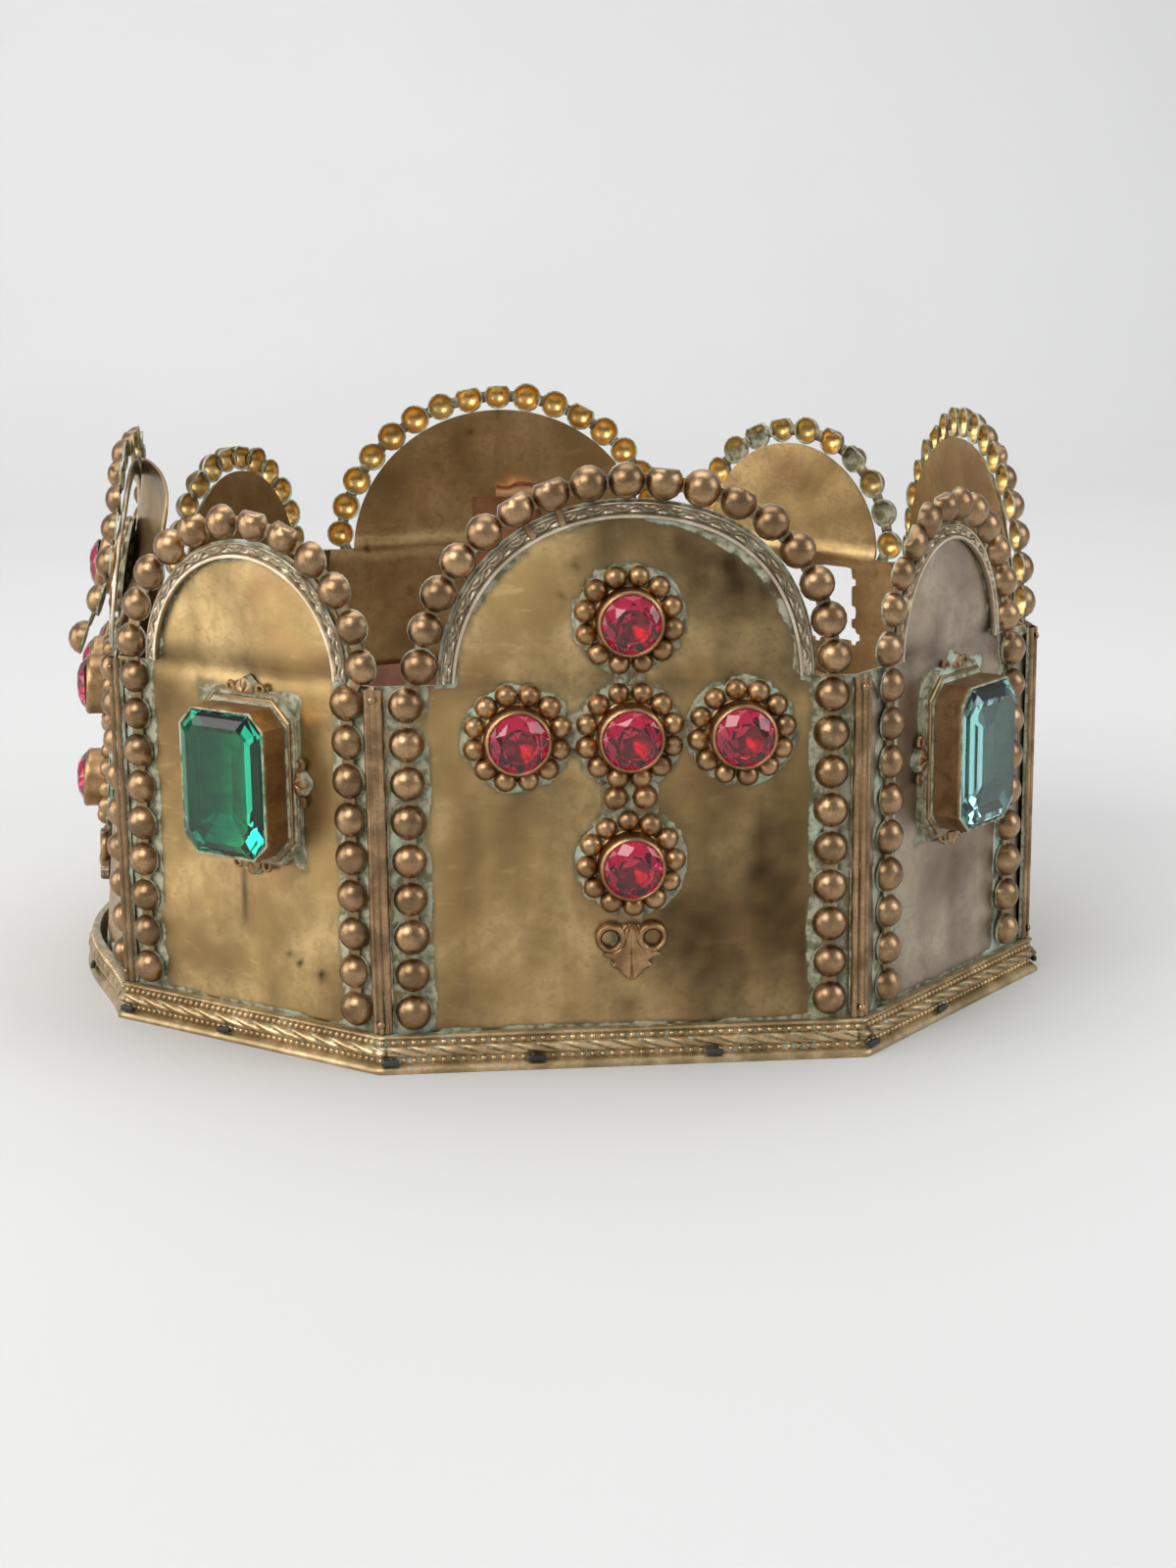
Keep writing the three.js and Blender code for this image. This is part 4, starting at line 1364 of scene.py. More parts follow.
        # Stains, and in the broad blobs painted highlight and shade
        for x, y, radius, depth in self.STAINS_AND_PAINTED_LIGHT.get(side.name, ()):
            dark += depth * bell(math.hypot(u - x, height - y), radius)
        if side.name == "front_left":
            crack = bell(u + 2 - 0.08 * (height - 35), 0.9) * smooth((47 - height) / 3)
            dark += 0.4 * crack * smooth((height - 26) / 6)
        return min(1.0, max(0.0, dark))


@dataclass
class ArchBand:
    """Engraved band on the lunette: smooth inner rim, running scroll and thin outer rib."""

    kit: Kit
    side: Side

    EDGE = 0.08

    def build(self) -> None:
        """Builds and shows the band."""
        side = self.side
        name = f"arch_band_{side.name}"
        piece = Piece(f"{name}_look", [name], "engraved_band", [self.kit.palette.band], 50.0)
        outer = side.arch.beads - BAND_INSET
        run = math.pi * (outer - BAND_WIDTH / 2)
        lift = 0.6 if side.bent else 0.1

        def place(s: float, t: float) -> Vector:
            across = self._across(t)
            point = side.arch_point(outer - BAND_WIDTH * across, BAND_FOOT, s)
            base = 0.0 if t < 0.04 or t > 0.96 else self._relief(s * run, across)
            point.z = lift + base
            return point

        def dirt(s: float, t: float) -> float:
            return 0.8 - 0.6 * self._relief(s * run, self._across(t))

        verts = piece.surface(round(run / 0.42), 26, place, dirt)
        for vert in verts:
            # Darker on the sunk ground between the raised scroll
            vert[piece.stain_and_shade] = 0.72 * (1 - smooth((vert.co.z - lift - 0.28) / 0.36))
        piece.close(verts)
        piece.follow(side)
        piece.show(self.kit.place @ side.matrix())

    def _across(self, share: float) -> float:
        """Turns a share of the grid into a place on the band's face.

        Args:
            share: 0 and 1 at the two feet of the band's edges.

        Returns:
            0 at the face's outer edge and 1 at its inner one.
        """
        return min(1.0, max(0.0, (share - self.EDGE) / (1 - 2 * self.EDGE)))

    @staticmethod
    def _relief(along: float, across: float) -> float:
        """Height of the band's face.

        Args:
            along: Distance along the band in millimetres.
            across: 0 at its outer edge and 1 at its inner one.

        Returns:
            The height in millimetres.
        """
        rim = BAND_DEPTH * smooth((across - 0.7) / 0.08) * smooth((1.06 - across) / 0.1)
        rib = 0.9 * bell(across - 0.05, 0.06)
        phase = 2 * math.pi * along / SCROLL_PITCH
        stem = bell(across - 0.4 - 0.15 * math.sin(phase), 0.055)
        leaves = 0.0
        for half in (0, 1):
            centre = SCROLL_PITCH * (0.25 + 0.5 * half)
            step = (along % SCROLL_PITCH) - centre
            drift = 0.4 + (0.17 if half else -0.17)
            lobes = 0.75 + 0.25 * math.cos(5 * math.atan2(across - drift, step * 0.3))
            leaves = max(leaves, lobes * bell(math.hypot(step / 1.25, (across - drift) / 0.13), 0.85))
        field = smooth((across - 0.12) / 0.06) * smooth((0.7 - across) / 0.06)
        return 0.3 + max(rim * 0.95, rib * 0.7, field * 0.8 * max(stem, leaves))


@dataclass
class BeadBorder:
    """Strip of half-round beads up both edges of a panel and over its arch."""

    kit: Kit
    side: Side

    TABBED = (10, 11)

    def build(self) -> None:
        """Builds and shows the border."""
        side = self.side
        finishes = [self.kit.palette.bead, self.kit.palette.bead_inside]
        name = f"bead_border_{side.name}"
        piece = Piece(f"{name}_look", [name], "bead_copper_brown", finishes)
        chance = random.Random(side.seed)
        arch = side.loose_beads() if side.bent else side.arch_beads()
        left, right = side.column(-1)[::-1], side.column(1)
        self._row(piece, right, chance, False)
        self._row(piece, arch, chance, True)
        self._row(piece, left, chance, False)
        if not side.bent:
            self._neck(piece, right[-1], arch[0])
        self._neck(piece, arch[-1], left[0])
        if side.name == "front":
            self._tabs(piece, arch)
        piece.show(self.kit.place @ side.matrix())

    def _frame(self, point: Vector, along: Vector) -> Matrix:
        """Axes at a point of the strip.

        Args:
            point: The point in the side's axes.
            along: Direction of the strip.

        Returns:
            The matrix, Z out of the wall.
        """
        normal = self.side.normal(point.x, point.y)
        x = along.normalized()
        y = normal.cross(x).normalized()
        turn = Matrix((x, y, x.cross(y))).transposed().to_4x4()
        seated = point + Vector((0, 0, self.side.wall(point.x, point.y) + 0.1))
        return Matrix.Translation(seated) @ turn

    def _row(self, piece: Piece, points: Sequence[Vector], chance: random.Random, hollow: bool) -> None:
        """Adds a row of beads and the necks between them.

        Args:
            piece: The border's piece.
            points: The bead places.
            chance: Source of small differences.
            hollow: True where the beads are seen from behind.
        """
        shape = self.kit.shapes.open_bead if hollow else self.kit.shapes.bead
        last = len(points) - 1
        for i, point in enumerate(points):
            along = points[min(last, i + 1)] - points[max(0, i - 1)]
            dirty = chance.uniform(0.75, 1.15)
            place = self._frame(point, along) @ Matrix.Rotation(chance.uniform(-0.09, 0.09), 4, "X")
            place @= Matrix.Rotation(chance.uniform(-0.09, 0.09), 4, "Y")
            size = chance.uniform(0.95, 1.02)
            place @= Matrix.Diagonal((size * 1.01, size, chance.uniform(0.93, 1.04), 1))
            cut = hollow and abs(i - last / 2) < last / 4 and chance.random() < 0.6
            ready = self.kit.shapes.clipped_bead if cut else shape
            inside = chance.uniform(0.3, 0.95) if self.side.torn else chance.uniform(0.0, 0.5)
            piece.stamp(ready, place, lambda co, d=dirty, i=inside: self._dirt(co, d, i))
            if i < last:
                self._neck(piece, point, points[i + 1])

    @staticmethod
    def _dirt(co: Vector, rim: float, inside: float) -> float:
        """How much verdigris a point of a bead gathers.

        Args:
            co: The point in the bead's own millimetres.
            rim: Verdigris at its foot.
            inside: Verdigris within its shell.

        Returns:
            The verdigris.
        """
        hollow = bead_reach(co) < BEAD_WITHIN and co.y > 0.5 - BEAD_CLIP
        within = inside if hollow else 0.0
        return max(within, rim * (1 - smooth((co.z + 0.1) / 0.9)))

    def _neck(self, piece: Piece, first: Vector, second: Vector) -> None:
        """Adds the flat neck between two beads.

        Args:
            piece: The border's piece.
            first: Place of the first bead.
            second: Place of the second bead.
        """
        gap = second - first
        size = Matrix.Diagonal((max(2.2, gap.length - 6.6), 3.4, 0.9, 1))
        place = self._frame((first + second) / 2, gap) @ size
        piece.stamp(self.kit.shapes.block, place, lambda co: 0.6)

    def _tabs(self, piece: Piece, arch: Sequence[Vector]) -> None:
        """Adds the tabs that hold two beads of the front arch over the band.

        Args:
            piece: The border's piece.
            arch: Places of the arch's beads.
        """
        for index in self.TABBED:
            bead = arch[index]
            inward = Vector((self.side.arch_shift, self.side.arch_centre, 0)) - bead
            middle = bead + inward.normalized() * 5.6
            place = self._frame(middle, inward) @ Matrix.Diagonal((4.4, 1.7, 1.9, 1))
            piece.stamp(self.kit.shapes.block, place, lambda co: 0.3)


@dataclass
class CornerPost:
    """Reeded post over a corner, nailed at both ends."""

    kit: Kit
    before: Side
    after: Side

    EDGE = 0.12
    REEDS = 3

    def build(self) -> None:
        """Builds and shows the post."""
        name = f"corner_post_{self.before.name}_to_{self.after.name}"
        piece = Piece(f"{name}_look", [name], "bead_copper_brown", [self.kit.palette.bead], 55.0)
        first = math.atan2(self.before.along.y, self.before.along.x)
        turn = (math.atan2(self.after.along.y, self.after.along.x) - first) % (2 * math.pi)
        slope = math.tan(turn / 2)
        top = WALL_TOP - 0.3

        def profile(t: float) -> tuple[float, float, float]:
            if t < self.EDGE or t > 1 - self.EDGE:
                x = POST_HALF if t < 0.5 else -POST_HALF
                return x, -abs(x) * slope + 0.3, 1.0
            share = (t - self.EDGE) / (1 - 2 * self.EDGE)
            x = POST_HALF * (1 - 2 * share)
            ribs = abs(math.sin(self.REEDS * math.pi * share)) ** 0.6
            return x, POST_BACK - abs(x) * slope + 0.1 + 0.85 * ribs, 1 - ribs

        def place(s: float, t: float) -> Point:
            x, y, _ = profile(t)
            height = POST_FOOT + (top - POST_FOOT) * s
            return x + 0.15 * wander(height, 0, self.after.seed, 30.0), y, height

        verts = piece.surface(24, 34, place, lambda s, t: 0.95 * profile(t)[2])
        for vert in verts:
            groove = POST_BACK - abs(vert.co.x) * slope + 0.9 - vert.co.y
            # Darker in the grooves between the reeds
            vert[piece.stain_and_shade] = 0.8 * smooth(groove / 0.7)
        piece.close(verts)
        for height in (top - 2.4, POST_FOOT + 2.2):
            nail = Matrix.Translation((0, POST_BACK + 0.7, height)) @ Matrix.Rotation(-math.pi / 2, 4, "X")
            piece.stamp(self.kit.shapes.nail, nail, lambda co: 0.5 * (1 - smooth(co.z / 0.4)))
        spin = Matrix.Rotation(first + turn / 2 + math.pi, 4, "Z")
        piece.show(self.kit.place @ Matrix.Translation(self.after.start) @ spin)


@dataclass
class WallPath:
    """Closed path round the foot of the crown."""

    sides: Sequence[Side]
    step: float
    bulged: bool = True

    def stations(self) -> list[tuple[Vector, Vector, float]]:
        """Walks round the crown.

        Returns:
            Each station's point, the direction that steps out of the wall, and the way so far.
        """
        points = []
        for side in self.sides:
            count = round(side.length / self.step)
            for i in range(count):
                u = side.length * (i / count - 0.5)
                edge = min(1.0, (side.length / 2 - abs(u)) / 6)
                spare = side.bulge(u, 0) + 0.6 * edge if side.bent and self.bulged else 0.0
                points.append(side.start + side.along * (u + side.length / 2) + side.out * spare)
        found, way = [], 0.0
        for i, point in enumerate(points):
            back = (point - points[i - 1]).normalized()
            ahead = (points[(i + 1) % len(points)] - point).normalized()
            out = Vector((back.y + ahead.y, -(back.x + ahead.x), 0)).normalized()
            stretch = 1 / math.sqrt((1 + back.dot(ahead)) / 2)
            found.append((point, out * stretch, way))
            way += (points[(i + 1) % len(points)] - point).length
        return found


@dataclass
class BaseTrim:
    """Moulded strip round the foot: rib, small beads, rope, small beads and flange."""

    kit: Kit
    sides: Sequence[Side]

    # Step out of the wall, and height
    PROFILE = (
        (0.3, 9.3), (1.5, 9.35), (2.2, 9.1), (2.45, 8.7), (2.2, 8.3), (1.9, 8.1), (1.9, 7.4), (1.95, 6.75),
        (2.5, 6.6), (2.9, 6.2), (3.0, 5.8), (3.05, 5.4), (3.05, 5.0), (3.0, 4.6), (2.9, 4.2), (2.5, 3.85),
        (2.0, 3.7), (2.0, 3.0), (2.0, 2.35), (2.5, 2.15), (3.2, 1.7), (3.75, 1.1), (3.9, 0.6), (3.85, 0.1),
        (3.6, 0.0), (0.3, 0.0), (0.3, 4.0), (0.3, 9.3),
    )
    ROPE = (3.85, 6.6)
    ROPE_SLANT = 1.2
    ROPE_HEIGHT = 1.1
    ROPE_SUNK = 0.5
    BEAD_ROWS = (7.4, 3.0)
    BEAD_STEP = 1.85
    WIDE_TIES = (-21.0, 22.0)
    NARROW_TIES = (-7.0,)
    TIE_SIZE = (4.2, 1.5, 1.2)
    TIE_HEIGHT = 2.9

    def build(self) -> None:
        """Builds and shows the trim."""
        finishes = [self.kit.palette.trim, self.kit.palette.fastener]
        piece = Piece("base_trim_look", ["base_trim"], "trim_brass", finishes, 60.0)
        stations = WallPath(self.sides, TRIM_STATION).stations()
        rows = len(self.PROFILE) - 1
        count = len(stations)

        def place(s: float, t: float) -> Vector:
            point, out, way = stations[round(s * count) % count]
            step, height = self.PROFILE[round(t * rows)]
            rope = self._rope(way, step, height)
            return point + out * (step + rope) + Vector((0, 0, height))

        def dirt(s: float, t: float) -> float:
            _, _, way = stations[round(s * count) % count]
            step, height = self.PROFILE[round(t * rows)]
            if step < 2.1:
                return 0.62
            return 0.5 - 1.0 * self._rope(way, step, height)

        grid = piece.surface(count, rows, place, dirt)
        self._darken(grid, piece.stain_and_shade)
        self._beads(piece, stations)
        self._fasteners(piece)
        piece.show(self.kit.place)

    def _darken(self, grid: Sequence[bmesh.types.BMVert], stain_and_shade: bmesh.types.BMLayerItem) -> None:
        """Darkens the grooves between the rope's strands.

        Args:
            grid: The strip's vertices.
            stain_and_shade: The layer that holds stains and painted shade.
        """
        low, high = self.ROPE
        for vert in grid:
            if low < vert.co.z < high:
                edges = [edge.other_vert(vert).co for edge in vert.link_edges]
                middle = sum(edges, Vector()) / len(edges)
                sunk = (middle - vert.co).xy.length
                outward = (middle - vert.co).xy.dot(vert.co.xy) > 0
                vert[stain_and_shade] = min(0.85, 5.0 * sunk) if outward else 0.0

    def _rope(self, way: float, step: float, height: float) -> float:
        """Height of the twisted strip over its flat.

        Args:
            way: Distance round the crown.
            step: Distance out of the wall.
            height: Height above the foot.

        Returns:
            The height in millimetres.
        """
        low, high = self.ROPE
        if step < 2.4 or not low < height < high:
            return 0.0
        across = (height - low) / (high - low)
        strand = abs(math.sin(math.pi * (way / ROPE_PITCH + self.ROPE_SLANT * across)))
        rounded = strand**0.55 * math.sin(math.pi * across) ** 0.5
        return self.ROPE_HEIGHT * rounded - self.ROPE_SUNK

    def _beads(self, piece: Piece, stations: Sequence[tuple[Vector, Vector, float]]) -> None:
        """Adds the two rows of small beads.

        Args:
            piece: The trim's piece.
            stations: Stations round the crown.
        """
        following = 0.0
        for point, out, way in stations:
            if way < following:
                continue
            following = way + TRIM_BEAD_PITCH
            out_turn = out.normalized().to_track_quat("Z", "Y").to_matrix().to_4x4()
            for height in self.BEAD_ROWS:
                seat = point + out * self.BEAD_STEP + Vector((0, 0, height))
                piece.stamp(
                    self.kit.shapes.trim_bead, Matrix.Translation(seat) @ out_turn,
                    lambda co: 0.6 * (1 - smooth(co.z / 0.4)),
                )

    def _fasteners(self, piece: Piece) -> None:
        """Adds the blackened ties at the corners and along the sides.

        Args:
            piece: The trim's piece.
        """
        for side in self.sides:
            ties = self.WIDE_TIES if side.arch is WIDE_ARCH else self.NARROW_TIES
            for u in (-side.length / 2 + 1.5, *ties):
                before = len(piece.bm.faces)
                out = 3.0 + side.bulge(u, 0) + (0.6 if side.bent else 0)
                along = side.along * (u + side.length / 2)
                seat = side.start + along + side.out * out + Vector((0, 0, self.TIE_HEIGHT))
                turn = Matrix((side.along, Vector((0, 0, 1)), side.out)).transposed().to_4x4()
                tilt = Matrix.Rotation(0.12 * wander(u, 0, side.seed, 3.0), 4, "Z")
                size = Matrix.Diagonal((*self.TIE_SIZE, 1))
                place = Matrix.Translation(seat) @ turn @ tilt @ size
                piece.stamp(self.kit.shapes.block, place, lambda co: 0.0)
                piece.bm.faces.ensure_lookup_table()
                for face in piece.bm.faces[before:]:
                    face.material_index = 1


@dataclass
class HeadBand:
    """Worn leather band inside the walls."""

    kit: Kit
    sides: Sequence[Side]

    # Step out of the wall, and share of the band's height
    PROFILE = (
        (-3.0, 0.0), (-3.0, 0.35), (-3.0, 0.7), (-3.1, 0.97), (-3.6, 1.0), (-4.4, 1.0), (-4.9, 0.97),
        (-5.0, 0.7), (-5.0, 0.35), (-5.0, 0.0), (-3.0, 0.0),
    )
    FOOT = 1.5
    TOP = 56.5

    def build(self) -> None:
        """Builds and shows the band."""
        leather = self.kit.palette.leather
        piece = Piece("head_band_look", ["head_band"], "head_band_leather", [leather], 60.0)
        stations = WallPath(self.sides, 2.4, False).stations()
        count = len(stations)
        rows = len(self.PROFILE) - 1

        def place(s: float, t: float) -> Vector:
            point, out, _ = stations[round(s * count) % count]
            step, share = self.PROFILE[round(t * rows)]
            turn = 2 * math.pi * s
            worn = 4.0 * wander(60 * math.cos(turn), 60 * math.sin(turn), 5.0, 16.0)
            top = self.TOP + min(3.5, worn)
            pucker = 0.3 * wander(60 * math.cos(turn), 60 * math.sin(turn) + share * 20, 9.0, 8.0)
            height = self.FOOT + (top - self.FOOT) * share
            return point + out * (step + pucker) + Vector((0, 0, height))

        piece.surface(count, rows, place)
        piece.show(self.kit.place)


def hull(piece: Piece, points: Iterable[Sequence[float]]) -> None:
    """Adds the faceted solid that wraps some points.

    Args:
        piece: The piece.
        points: The points.
    """
    before = len(piece.bm.verts)
    for point in points:
        piece.bm.verts.new(point)
    wrapped = bmesh.ops.convex_hull(piece.bm, input=piece.added(before))
    spare = wrapped["geom_interior"] + wrapped["geom_unused"]
    unused = [g for g in spare if isinstance(g, bmesh.types.BMVert)]
    bmesh.ops.delete(piece.bm, geom=unused, context="VERTS")
    bmesh.ops.dissolve_limit(
        piece.bm, angle_limit=math.radians(1.0), verts=piece.bm.verts[:], edges=piece.bm.edges[:]
    )


def ring(radius: float, count: int, height: float, turn: float = 0.0) -> list[Point]:
    """Points round a circle.

    Args:
        radius: Its radius.
        count: Number of points.
        height: Height of the circle.
        turn: Turn of the first point, in steps.

    Returns:
        The points.
    """
    angles = [2 * math.pi * (i + turn) / count for i in range(count)]
    return [(radius * math.cos(a), radius * math.sin(a), height) for a in angles]


def cut_corners(width: float, height: float, cut: float) -> list[tuple[float, float]]:
    """Corners of a rectangle whose own corners are cut off.

    Args:
        width: Its width.
        height: Its height.
        cut: What is cut off each corner, along each side.

    Returns:
        The eight corners.
    """
    w, h = width / 2, height / 2
    quarter = [(w - cut, -h), (w, cut - h), (w, h - cut), (w - cut, h)]
    return [*quarter, *[(-x, -y) for x, y in quarter]]


@dataclass
class RubyCross:
    """Five round red stones in tall cups, each in a ring of beads, with a leaf below."""

    kit: Kit
    side: Side

    BACKING = 12.4
    # Radius and level
    CUP = (
        (8.9, 0.6), (8.7, 1.2), (8.1, 1.6), (7.95, 3.0), (7.9, 5.6), (8.0, 6.3), (7.9, 6.8), (7.55, 7.25),
        (7.15, 7.4), (6.95, 7.25), (7.0, 6.9), (6.6, 5.6), (3.4, 2.2), (0.0, 1.6),
    )
    FOIL_FROM = 11

    def build(self) -> None:
        """Builds and shows the cross and its stones."""
        side = self.side
        palette = self.kit.palette
        name = f"ruby_cross_{side.name}"
        piece = Piece(f"{name}_look", [name], "setting_copper_brown", [palette.setting, palette.foil], 40.0)
        for i, (x, y) in enumerate(side.cross_places().values()):
            self._ring(piece, x, y, i)
        self._links(piece)
        Fleur().add(piece, side.gem_shift, CROSS_CENTRE - CROSS_DOWN - RING_OUT)
        bmesh.ops.translate(piece.bm, vec=(0, 0, self._lift), verts=piece.bm.verts)
        piece.follow(side)
        piece.show(self.kit.place @ side.matrix())
        for where, (x, y) in side.cross_places().items():
            self._stone(where, x, y)

    @property
    def _lift(self) -> float:
        """How far the cross stands off the sheet's flat."""
        return 0.6 if self.side.bent else 0.0

    def _ring(self, piece: Piece, x: float, y: float, index: int) -> None:
        """Adds one cup with its backing and its ring of beads.

        Args:
            piece: The cross's piece.
            x: Distance along the side.
            y: Height.
            index: Number of the ring.
        """
        seed = self.side.seed * 10 + index

        def backing(s: float, t: float) -> Point:
            angle = 2 * math.pi * s
            cut = 0.8 * wander(9 * math.cos(angle), 9 * math.sin(angle), seed, 4.0)
            edge = self.BACKING + 0.35 * math.cos(12 * angle) + cut
            rows = ((edge, -0.6), (edge, 0.35), (edge - 0.5, 0.65), (8.0, 0.7))
            radius, height = rows[round(t * 3)]
            return x + radius * math.cos(angle), y + radius * math.sin(angle), height

        piece.surface(48, 3, backing, lambda s, t: 0.8)
        rows = len(self.CUP) - 1

        def cup(s: float, t: float) -> Point:
            radius, height = self.CUP[round(t * rows)]
            angle = 2 * math.pi * s
            return x + radius * math.cos(angle), y + radius * math.sin(angle), height

        before = len(piece.bm.faces)
        piece.surface(28, rows, cup, lambda s, t: 0.85 - 4.0 * t if t < 0.2 else 0.0)
        piece.bm.faces.ensure_lookup_table()
        for face in piece.bm.faces[before:]:
            reach = (face.calc_center_median().xy - Vector((x, y))).length
            if reach < self.CUP[self.FOIL_FROM][0] and face.calc_center_median().z < 6.5:
                face.material_index = 1
        chance = random.Random(seed)
        for px, py, _ in ring(RING_LINE, 12, 0, chance.uniform(0, 1)):
            size = chance.uniform(0.93, 1.05)
            place = Matrix.Translation((x + px, y + py, 0.6)) @ Matrix.Diagonal((size, size, size, 1))
            piece.stamp(self.kit.shapes.ring_bead, place, lambda co: 0.8 * (1 - smooth(co.z / 0.6)))

    def _links(self, piece: Piece) -> None:
        """Adds the flat links between the rings, and the pair of beads above the lowest.

        Args:
            piece: The cross's piece.
        """
        u = self.side.gem_shift
        middle = CROSS_CENTRE - CROSS_DOWN / 2
        links = [
            (u - CROSS_ARM / 2, CROSS_CENTRE, 5.0, 6.0), (u + CROSS_ARM / 2, CROSS_CENTRE, 5.0, 6.0),
            (u, CROSS_CENTRE + CROSS_UP / 2, 7.0, 5.0), (u, middle, 13.5, 10.0),
            (u, CROSS_CENTRE - CROSS_DOWN - RING_OUT, 6.0, 4.4),
        ]
        for x, y, width, height in links:
            place = Matrix.Translation((x, y, -0.5)) @ Matrix.Diagonal((width, height, 1.2, 1))
            piece.stamp(self.kit.shapes.block, place, lambda co: 0.7)
        for step in (-3.5, 3.5):
            size = Matrix.Diagonal((1.12, 1.12, 1.1, 1))
            place = Matrix.Translation((u + step, middle + 0.6, 0.6)) @ size
            piece.stamp(self.kit.shapes.ring_bead, place, lambda co: 0.8 * (1 - smooth(co.z / 0.6)))

    def _stone(self, where: str, x: float, y: float) -> None:
        """Builds and shows one brilliant-cut stone.

        Args:
            where: Place of the stone in the cross.
            x: Distance along the side.
            y: Height.
        """
        side = self.side
        name = f"ruby_{side.name}_{where}"
        piece = Piece(f"{name}_look", [name], "red_glass", [self.kit.palette.ruby], 0.5)
        seat = CUP_HEIGHT + 0.35
        points = [
            *ring(STONE_RADIUS, 16, seat), *ring(STONE_RADIUS, 16, seat - 0.35),
            *ring(5.75, 8, seat + 1.25, 0.5), *ring(4.1, 8, seat + 2.1),
            *ring(4.4, 8, seat - 2.4, 0.5), *ring(0.5, 8, seat - 4.7),
        ]
        hull(piece, points)
        turn = Matrix.Rotation(0.2 * side.seed + 0.07 * x, 4, "Z")
        bmesh.ops.transform(piece.bm, matrix=turn, verts=piece.bm.verts)
        bmesh.ops.translate(piece.bm, vec=(x, y, self._lift + side.wall(x, y)), verts=piece.bm.verts)
        piece.show(self.kit.place @ side.matrix())


class Fleur:
    """Leaf between two curled loops."""

    CURL_OUT = 5.0
    CURL_DOWN = 5.4
    CURL_RADIUS = 2.95
    STALK_DOWN = 1.3
    LENGTH = 14.9
    # Share of the length, and half the width there
    HALF = (
        (0.0, 2.6), (0.1, 2.8), (0.2, 2.4), (0.3, 2.2), (0.38, 2.6), (0.43, 4.0), (0.46, 6.6),
        (0.5, 7.5), (0.55, 7.0), (0.6, 5.4), (0.64, 4.4), (0.67, 4.6), (0.71, 5.4), (0.76, 4.4),
        (0.82, 3.0), (0.86, 2.8), (0.92, 1.9), (1.0, 0.1),
    )
    FOLD = 0.36

    def add(self, piece: Piece, x: float, top: float) -> None:
        """Adds the leaf and its loops to a piece.

        Args:
            piece: The piece.
            x: Distance along the side.
            top: Height of the leaf's stalk.
        """
        for sign in (-1, 1):
            self._curl(piece, x + sign * self.CURL_OUT, top - self.CURL_DOWN, sign)
        self._leaf(piece, x, top - self.STALK_DOWN)

    def _curl(self, piece: Piece, x: float, y: float, sign: int) -> None:
        """Adds one loop, thicker towards the leaf.

        Args:
            piece: The piece.
            x: Distance along the side.
            y: Height.
            sign: -1 for the left loop and 1 for the right one.
        """

        def place(s: float, t: float) -> Point:
            angle = 2 * math.pi * s
            thick = 1.05 + 0.25 * math.cos(angle - math.pi / 2 - sign * 1.0)
            round_angle = 2 * math.pi * t
            radius = self.CURL_RADIUS + thick * math.cos(round_angle)
            height = 0.9 + 1.25 * thick * math.sin(round_angle)
            return x + radius * math.cos(angle), y + radius * math.sin(angle), height

        piece.surface(24, 10, place, lambda s, t: 0.8 if math.sin(2 * math.pi * t) < -0.1 else 0.0)

    def _half(self, share: float) -> float:
        """Half the leaf's width.

        Args:
            share: 0 at the stalk and 1 at the tip.

        Returns:
            The half width in millimetres.
        """
        for (low, first), (high, second) in zip(self.HALF, self.HALF[1:]):
            if share <= high:
                return first + (second - first) * (share - low) / (high - low)
        return self.HALF[-1][1]

    def _leaf(self, piece: Piece, x: float, top: float) -> None:
        """Adds the lobed leaf, folded along its veins.

        Args:
            piece: The piece.
            x: Distance along the side.
            top: Height of its stalk.
        """

        def fold(u: float, way: float) -> float:
            turn = math.atan2(abs(u), way + 1.2)
            return 0.3 * math.cos(2 * math.pi * turn / self.FOLD) - 0.7 * bell(u, 0.45)

        def place(s: float, t: float) -> Point:
            across = 2 * s - 1
            u, way = across * self._half(t), self.LENGTH * t
            edge = abs(across) > 0.99 or t < 0.01 or t > 0.99
            dome = max(0.0, 1 - abs(across) ** 3) ** 0.5 * (1 - 0.4 * t)
            height = -0.4 if edge else 0.8 + 1.7 * dome + fold(u, way)
            return x + u, top - way - 0.2 * abs(u) * (1 - t), height

        def dirt(s: float, t: float) -> float:
            u = (2 * s - 1) * self._half(t)
            return 0.75 * abs(2 * s - 1) ** 6 - 0.7 * min(0.0, fold(u, self.LENGTH * t))

        piece.surface(28, 60, place, dirt)


